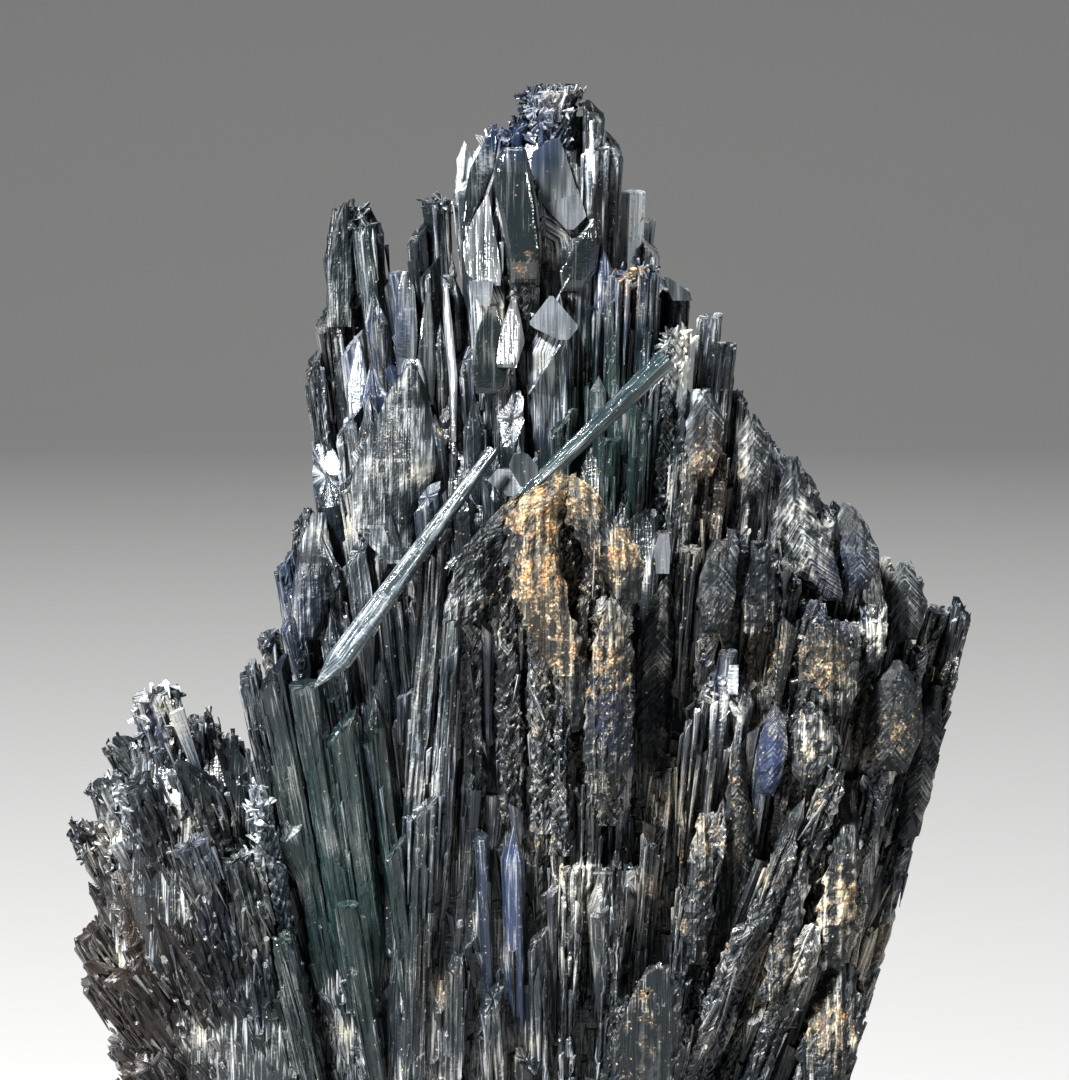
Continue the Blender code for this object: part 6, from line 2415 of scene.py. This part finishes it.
@dataclass
class Cluster:
    """The whole cluster: its stands, worked out in the order that the solid has them."""

    stands: list[Stand] = field(default_factory=list)
    core: Core = field(default_factory=Core)
    infill: Infill = field(default_factory=Infill)
    leaves: Sequence[Leaves] = (
        Leaves("plates", PLATES, GLASS_FINISH),
        Leaves("leaves", LEAVES, MATT_FINISH),
        Leaves("hood", HOOD, MATT_FINISH),
    )
    druse: Druse = field(default_factory=Druse)
    margin: float = 0.3
    densest: float = 3.0

    def __post_init__(self) -> None:
        """Works out every crystal, and makes the lath forms and the node tree."""
        shape = random.Random(SEED)
        self.stands = stands(shape)
        first = 0
        for stand in self.stands:
            first = stand.work_out(shape, first)
        self.crystals = [crystal for stand in self.stands for crystal in stand.crystals]
        self.shapes = LathShapes().build()
        self.tree = LathTree()
        self.finishes: dict[str, bpy.types.Material] = {}
        self.skin = Skin(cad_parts[CAD_NODE])
        self.rng = np.random.default_rng(SEED)
        self.spots, self.normals = self.skin.spots(self.densest, self.rng)
        under = self.spots - self.normals * UNDER
        self.owners = self.owners_of(under)
        self.covered = np.zeros(len(self.spots), dtype=bool)
        for leaves in self.leaves:
            for leaf in leaves.leaves:
                self.covered |= leaf.covers(self.spots) & (self.spots[:, 1] < 0.0)
        slanting = (stand for stand in self.stands if isinstance(stand, Slanting))
        self.slanting = [crystal for stand in slanting for crystal in stand.solid]
        for crystal in self.slanting:
            self.covered |= crystal.holds(under, -0.1)

    def material(self, finish: MineralFinish) -> bpy.types.Material:
        """A finish's material, made once.

        Args:
            finish: The finish.

        Returns:
            The material.
        """
        if finish.name not in self.finishes:
            self.finishes[finish.name] = finish.material()
        return self.finishes[finish.name]

    def owners_of(self, points: np.ndarray) -> np.ndarray:
        """Which crystal each point just under the surface lies in.

        Args:
            points: The points.

        Returns:
            The crystals' numbers, -1 where it is the body.
        """
        owners = np.full(len(points), -1)
        for number, crystal in enumerate(self.crystals):
            chosen = np.flatnonzero(crystal.close(points))
            if len(chosen):
                owners[chosen[crystal.holds(points[chosen], 0.0)]] = number
        return owners

    def spots_on(self, number: int, density: float) -> tuple[np.ndarray, np.ndarray]:
        """Spots on one crystal's part of the surface.

        Args:
            number: The crystal's number, or -1 for the body.
            density: How many on each square millimetre.

        Returns:
            The spots and the way the surface looks there.
        """
        chosen = np.flatnonzero((self.owners == number) & ~self.covered)
        chosen = chosen[self.rng.random(len(chosen)) < density / self.densest]
        return self.spots[chosen], self.normals[chosen]

    def lowest_seen(self, number: int) -> float:
        """How far below its tip a crystal still shows.

        Args:
            number: The crystal's number.

        Returns:
            The distance.
        """
        crystal = self.crystals[number]
        mine = self.spots[self.owners == number]
        if not len(mine):
            return min(2.0, crystal.floor)
        seen = np.max((crystal.tip - mine) @ crystal.along) + 0.8
        return float(min(seen, crystal.length - 0.1, crystal.floor + 0.4))

    def some_spots(self, density: float) -> tuple[np.ndarray, np.ndarray, np.ndarray]:
        """Spots all over the surface.

        Args:
            density: How many on each square millimetre.

        Returns:
            The spots, the way the surface looks there and the crystals that they are on.
        """
        chosen = np.flatnonzero(~self.covered & (self.rng.random(len(self.spots)) < density / self.densest))
        return self.spots[chosen], self.normals[chosen], self.owners[chosen]

    def front_at(self, x: float, z: float) -> float | None:
        """How far forward the solid stands at a place of the front, or None beside it."""
        spot = self.skin.tree.ray_cast(Vector((x, -60.0, z)), Vector((0.0, 1.0, 0.0)))[0]
        return None if spot is None else spot.y

    def stand_in(self, spot: np.ndarray) -> Crystal:
        """A crystal that would run past a spot of the body.

        Args:
            spot: The spot.

        Returns:
            The crystal, with its tip above the spot.
        """
        root = LOBE_ROOT if spot[0] < -19.0 and spot[2] < 44.0 else FAN_ROOT
        along = (spot - root) / np.linalg.norm(spot - root)
        tip = spot + along * 3.0
        return grown(Blade(*tip, 1.5, 1.5, FLAT, 40.0, 0.0, tuple(root)), root, random.Random(SEED))

    def buried(self, laths: Sequence[Lath]) -> np.ndarray:
        """Which laths lie wholly inside other crystals or the bodies.

        Args:
            laths: The laths.

        Returns:
            True for each lath that can't be seen.
        """
        place, along, owner = (column(laths, name) for name in ("place", "along", "owner"))
        length = column(laths, "size")[:, 2]
        hidden = np.ones(len(place), dtype=bool)
        for down in (0.02, 0.35, 0.7, 1.0):
            points = place - along * (length * down)[:, None]
            hidden &= self.inside(points, owner)
        return hidden

    def inside(self, points: np.ndarray, owner: np.ndarray) -> np.ndarray:
        """Which points lie inside a crystal other than their own, or in a body.

        Args:
            points: The points.
            owner: The number of each point's own crystal.

        Returns:
            True for each point that lies inside.
        """
        found = points[:, 2] < 0.0
        for body in self.core.bodies:
            found |= body.holds(points, self.margin)
        for number, crystal in enumerate(self.crystals):
            chosen = np.flatnonzero(crystal.close(points) & ~found & (owner != number))
            if len(chosen):
                found[chosen] = crystal.holds(points[chosen], self.margin)
        return found

    def dressed(
        self,
        name: str,
        laths: Sequence[Lath],
        hearts: Hearts,
        splay: float,
        seed: int,
        finish: MineralFinish,
    ) -> bpy.types.Object:
        """Makes a piece of crystals and the laths on them.

        Args:
            name: The piece's name.
            laths: The laths.
            hearts: The crystals.
            splay: How far laths lean at random, in degrees.
            seed: The seed of that lean.
            finish: The piece's finish.

        Returns:
            The piece.
        """
        piece = self.tree.grow(name, lath_points(name + "_points", laths), {
            "Shapes": self.shapes,
            "Hearts": hearts.build(name + "_hearts"),
            "Splay": math.radians(splay),
            "Seed": seed,
            "Finish": self.material(finish),
        })
        return finished(piece)

    def build(self) -> list[bpy.types.Object]:
        """Builds every piece in turn."""
        return [part.build(self) for part in (self.core, *self.stands, self.infill, *self.leaves, self.druse)]


@dataclass
class Studio:
    """The plain pale floor with its sweep, the soft lamps and the camera."""

    wide: float = 3.0
    front: float = -1.6
    back: float = 1.3
    sweep: float = 0.5
    steps: int = 16
    high: float = 2.0
    paint: Tone = Tone(0.22, 0.22, 0.218)
    dullness: float = 0.75
    sky: Tone = Tone(0.020, 0.021, 0.023)
    look_at: tuple[float, float, float] = (0.000665, 0.0, 0.0525)
    distance: float = 0.45
    elevation: float = 5.0
    view_height: float = 0.0756
    sensor: float = 36.0

    def build(self) -> None:
        """Builds floor, lamps, sky and camera."""
        self.floor()
        self.world()
        self.lamp("key_lamp", -38.0, 52.0, 0.60, 0.08, 18.0)
        self.lamp("left_lamp", -56.0, 12.0, 0.60, 0.10, 5.5)
        self.lamp("right_lamp", 64.0, 16.0, 0.8, 0.12, 4.0)
        self.lamp("rim_lamp", 178.0, 55.0, 0.8, 0.35, 5.0)
        self.camera()

    def floor(self) -> None:
        """A floor that curves up into a wall behind the part."""
        profile = [(self.front, 0.0), (0.0, 0.0), (self.back - self.sweep, 0.0)]
        for i in range(1, self.steps + 1):
            angle = math.radians(90.0 * i / self.steps)
            profile.append((
                self.back - self.sweep + self.sweep * math.sin(angle), self.sweep * (1.0 - math.cos(angle)),
            ))
        profile.append((self.back, self.high))
        points = [(x, y, z) for y, z in profile for x in (-self.wide, self.wide)]
        faces = [(2 * i, 2 * i + 1, 2 * i + 3, 2 * i + 2) for i in range(len(profile) - 1)]
        floor = bpy.data.objects.new("floor", plain_mesh("floor", points, faces))
        bpy.context.scene.collection.objects.link(floor)
        for face in floor.data.polygons:
            face.use_smooth = True
        material = bpy.data.materials.new("pale_floor")
        material.use_nodes = True
        graph = Graph(material.node_tree)
        paint = {"Base Color": self.paint.rgba, "Roughness": self.dullness}
        shader = graph.node("ShaderNodeBsdfPrincipled", {}, paint)
        graph.node("ShaderNodeOutputMaterial", {}, {"Surface": shader.outputs[0]})
        floor.data.materials.append(material)

    def world(self) -> None:
        """A dim even sky."""
        world = bpy.data.worlds.new("studio_sky")
        world.use_nodes = True
        graph = Graph(world.node_tree)
        sky = graph.node("ShaderNodeBackground", {}, {"Color": self.sky.rgba, "Strength": 1.0})
        graph.node("ShaderNodeOutputWorld", {}, {"Surface": sky.outputs[0]})
        bpy.context.scene.world = world
        bpy.context.scene.view_settings.view_transform = "Standard"

    def lamp(
        self, name: str, azimuth: float, elevation: float, away: float, size: float, power: float
    ) -> None:
        """Hangs a square soft lamp that faces the part.

        Args:
            name: The lamp's name.
            azimuth: Where it hangs, in degrees from the viewer's side towards the right.
            elevation: Its height in degrees.
            away: Its distance.
            size: The length of its side.
            power: Its power in watts.
        """
        data = bpy.data.lights.new(name, "AREA")
        data.shape = "SQUARE"
        data.size = size
        data.energy = power
        lamp = bpy.data.objects.new(name, data)
        turn, rise = math.radians(azimuth), math.radians(elevation)
        away_to = Vector((math.sin(turn) * math.cos(rise), -math.cos(turn) * math.cos(rise), math.sin(rise)))
        lamp.location = Vector(self.look_at) + away_to * away
        lamp.rotation_euler = away_to.to_track_quat("Z", "Y").to_euler()
        bpy.context.scene.collection.objects.link(lamp)

    def camera(self) -> None:
        """Sets the camera at the viewer's angle, with a long lens."""
        data = bpy.data.cameras.new("camera")
        data.sensor_fit = "VERTICAL"
        data.sensor_height = self.sensor
        data.lens = self.sensor * self.distance / self.view_height
        data.clip_start = 0.01
        data.clip_end = 20.0
        camera = bpy.data.objects.new("camera", data)
        rise = math.radians(self.elevation)
        back = Vector((0.0, -math.cos(rise), math.sin(rise)))
        camera.location = Vector(self.look_at) + back * self.distance
        camera.rotation_euler = back.to_track_quat("Z", "Y").to_euler()
        bpy.context.scene.collection.objects.link(camera)
        bpy.context.scene.camera = camera


def main() -> None:
    """Builds the studio and the cluster, and reports each piece."""
    logging.basicConfig(level=logging.INFO, format="%(name)s: %(message)s")
    Studio().build()
    for piece in Cluster().build():
        piece.data.calc_loop_triangles()
        log.info("%s: %d triangles", piece.name, len(piece.data.loop_triangles))


if __name__ == "__main__":
    main()
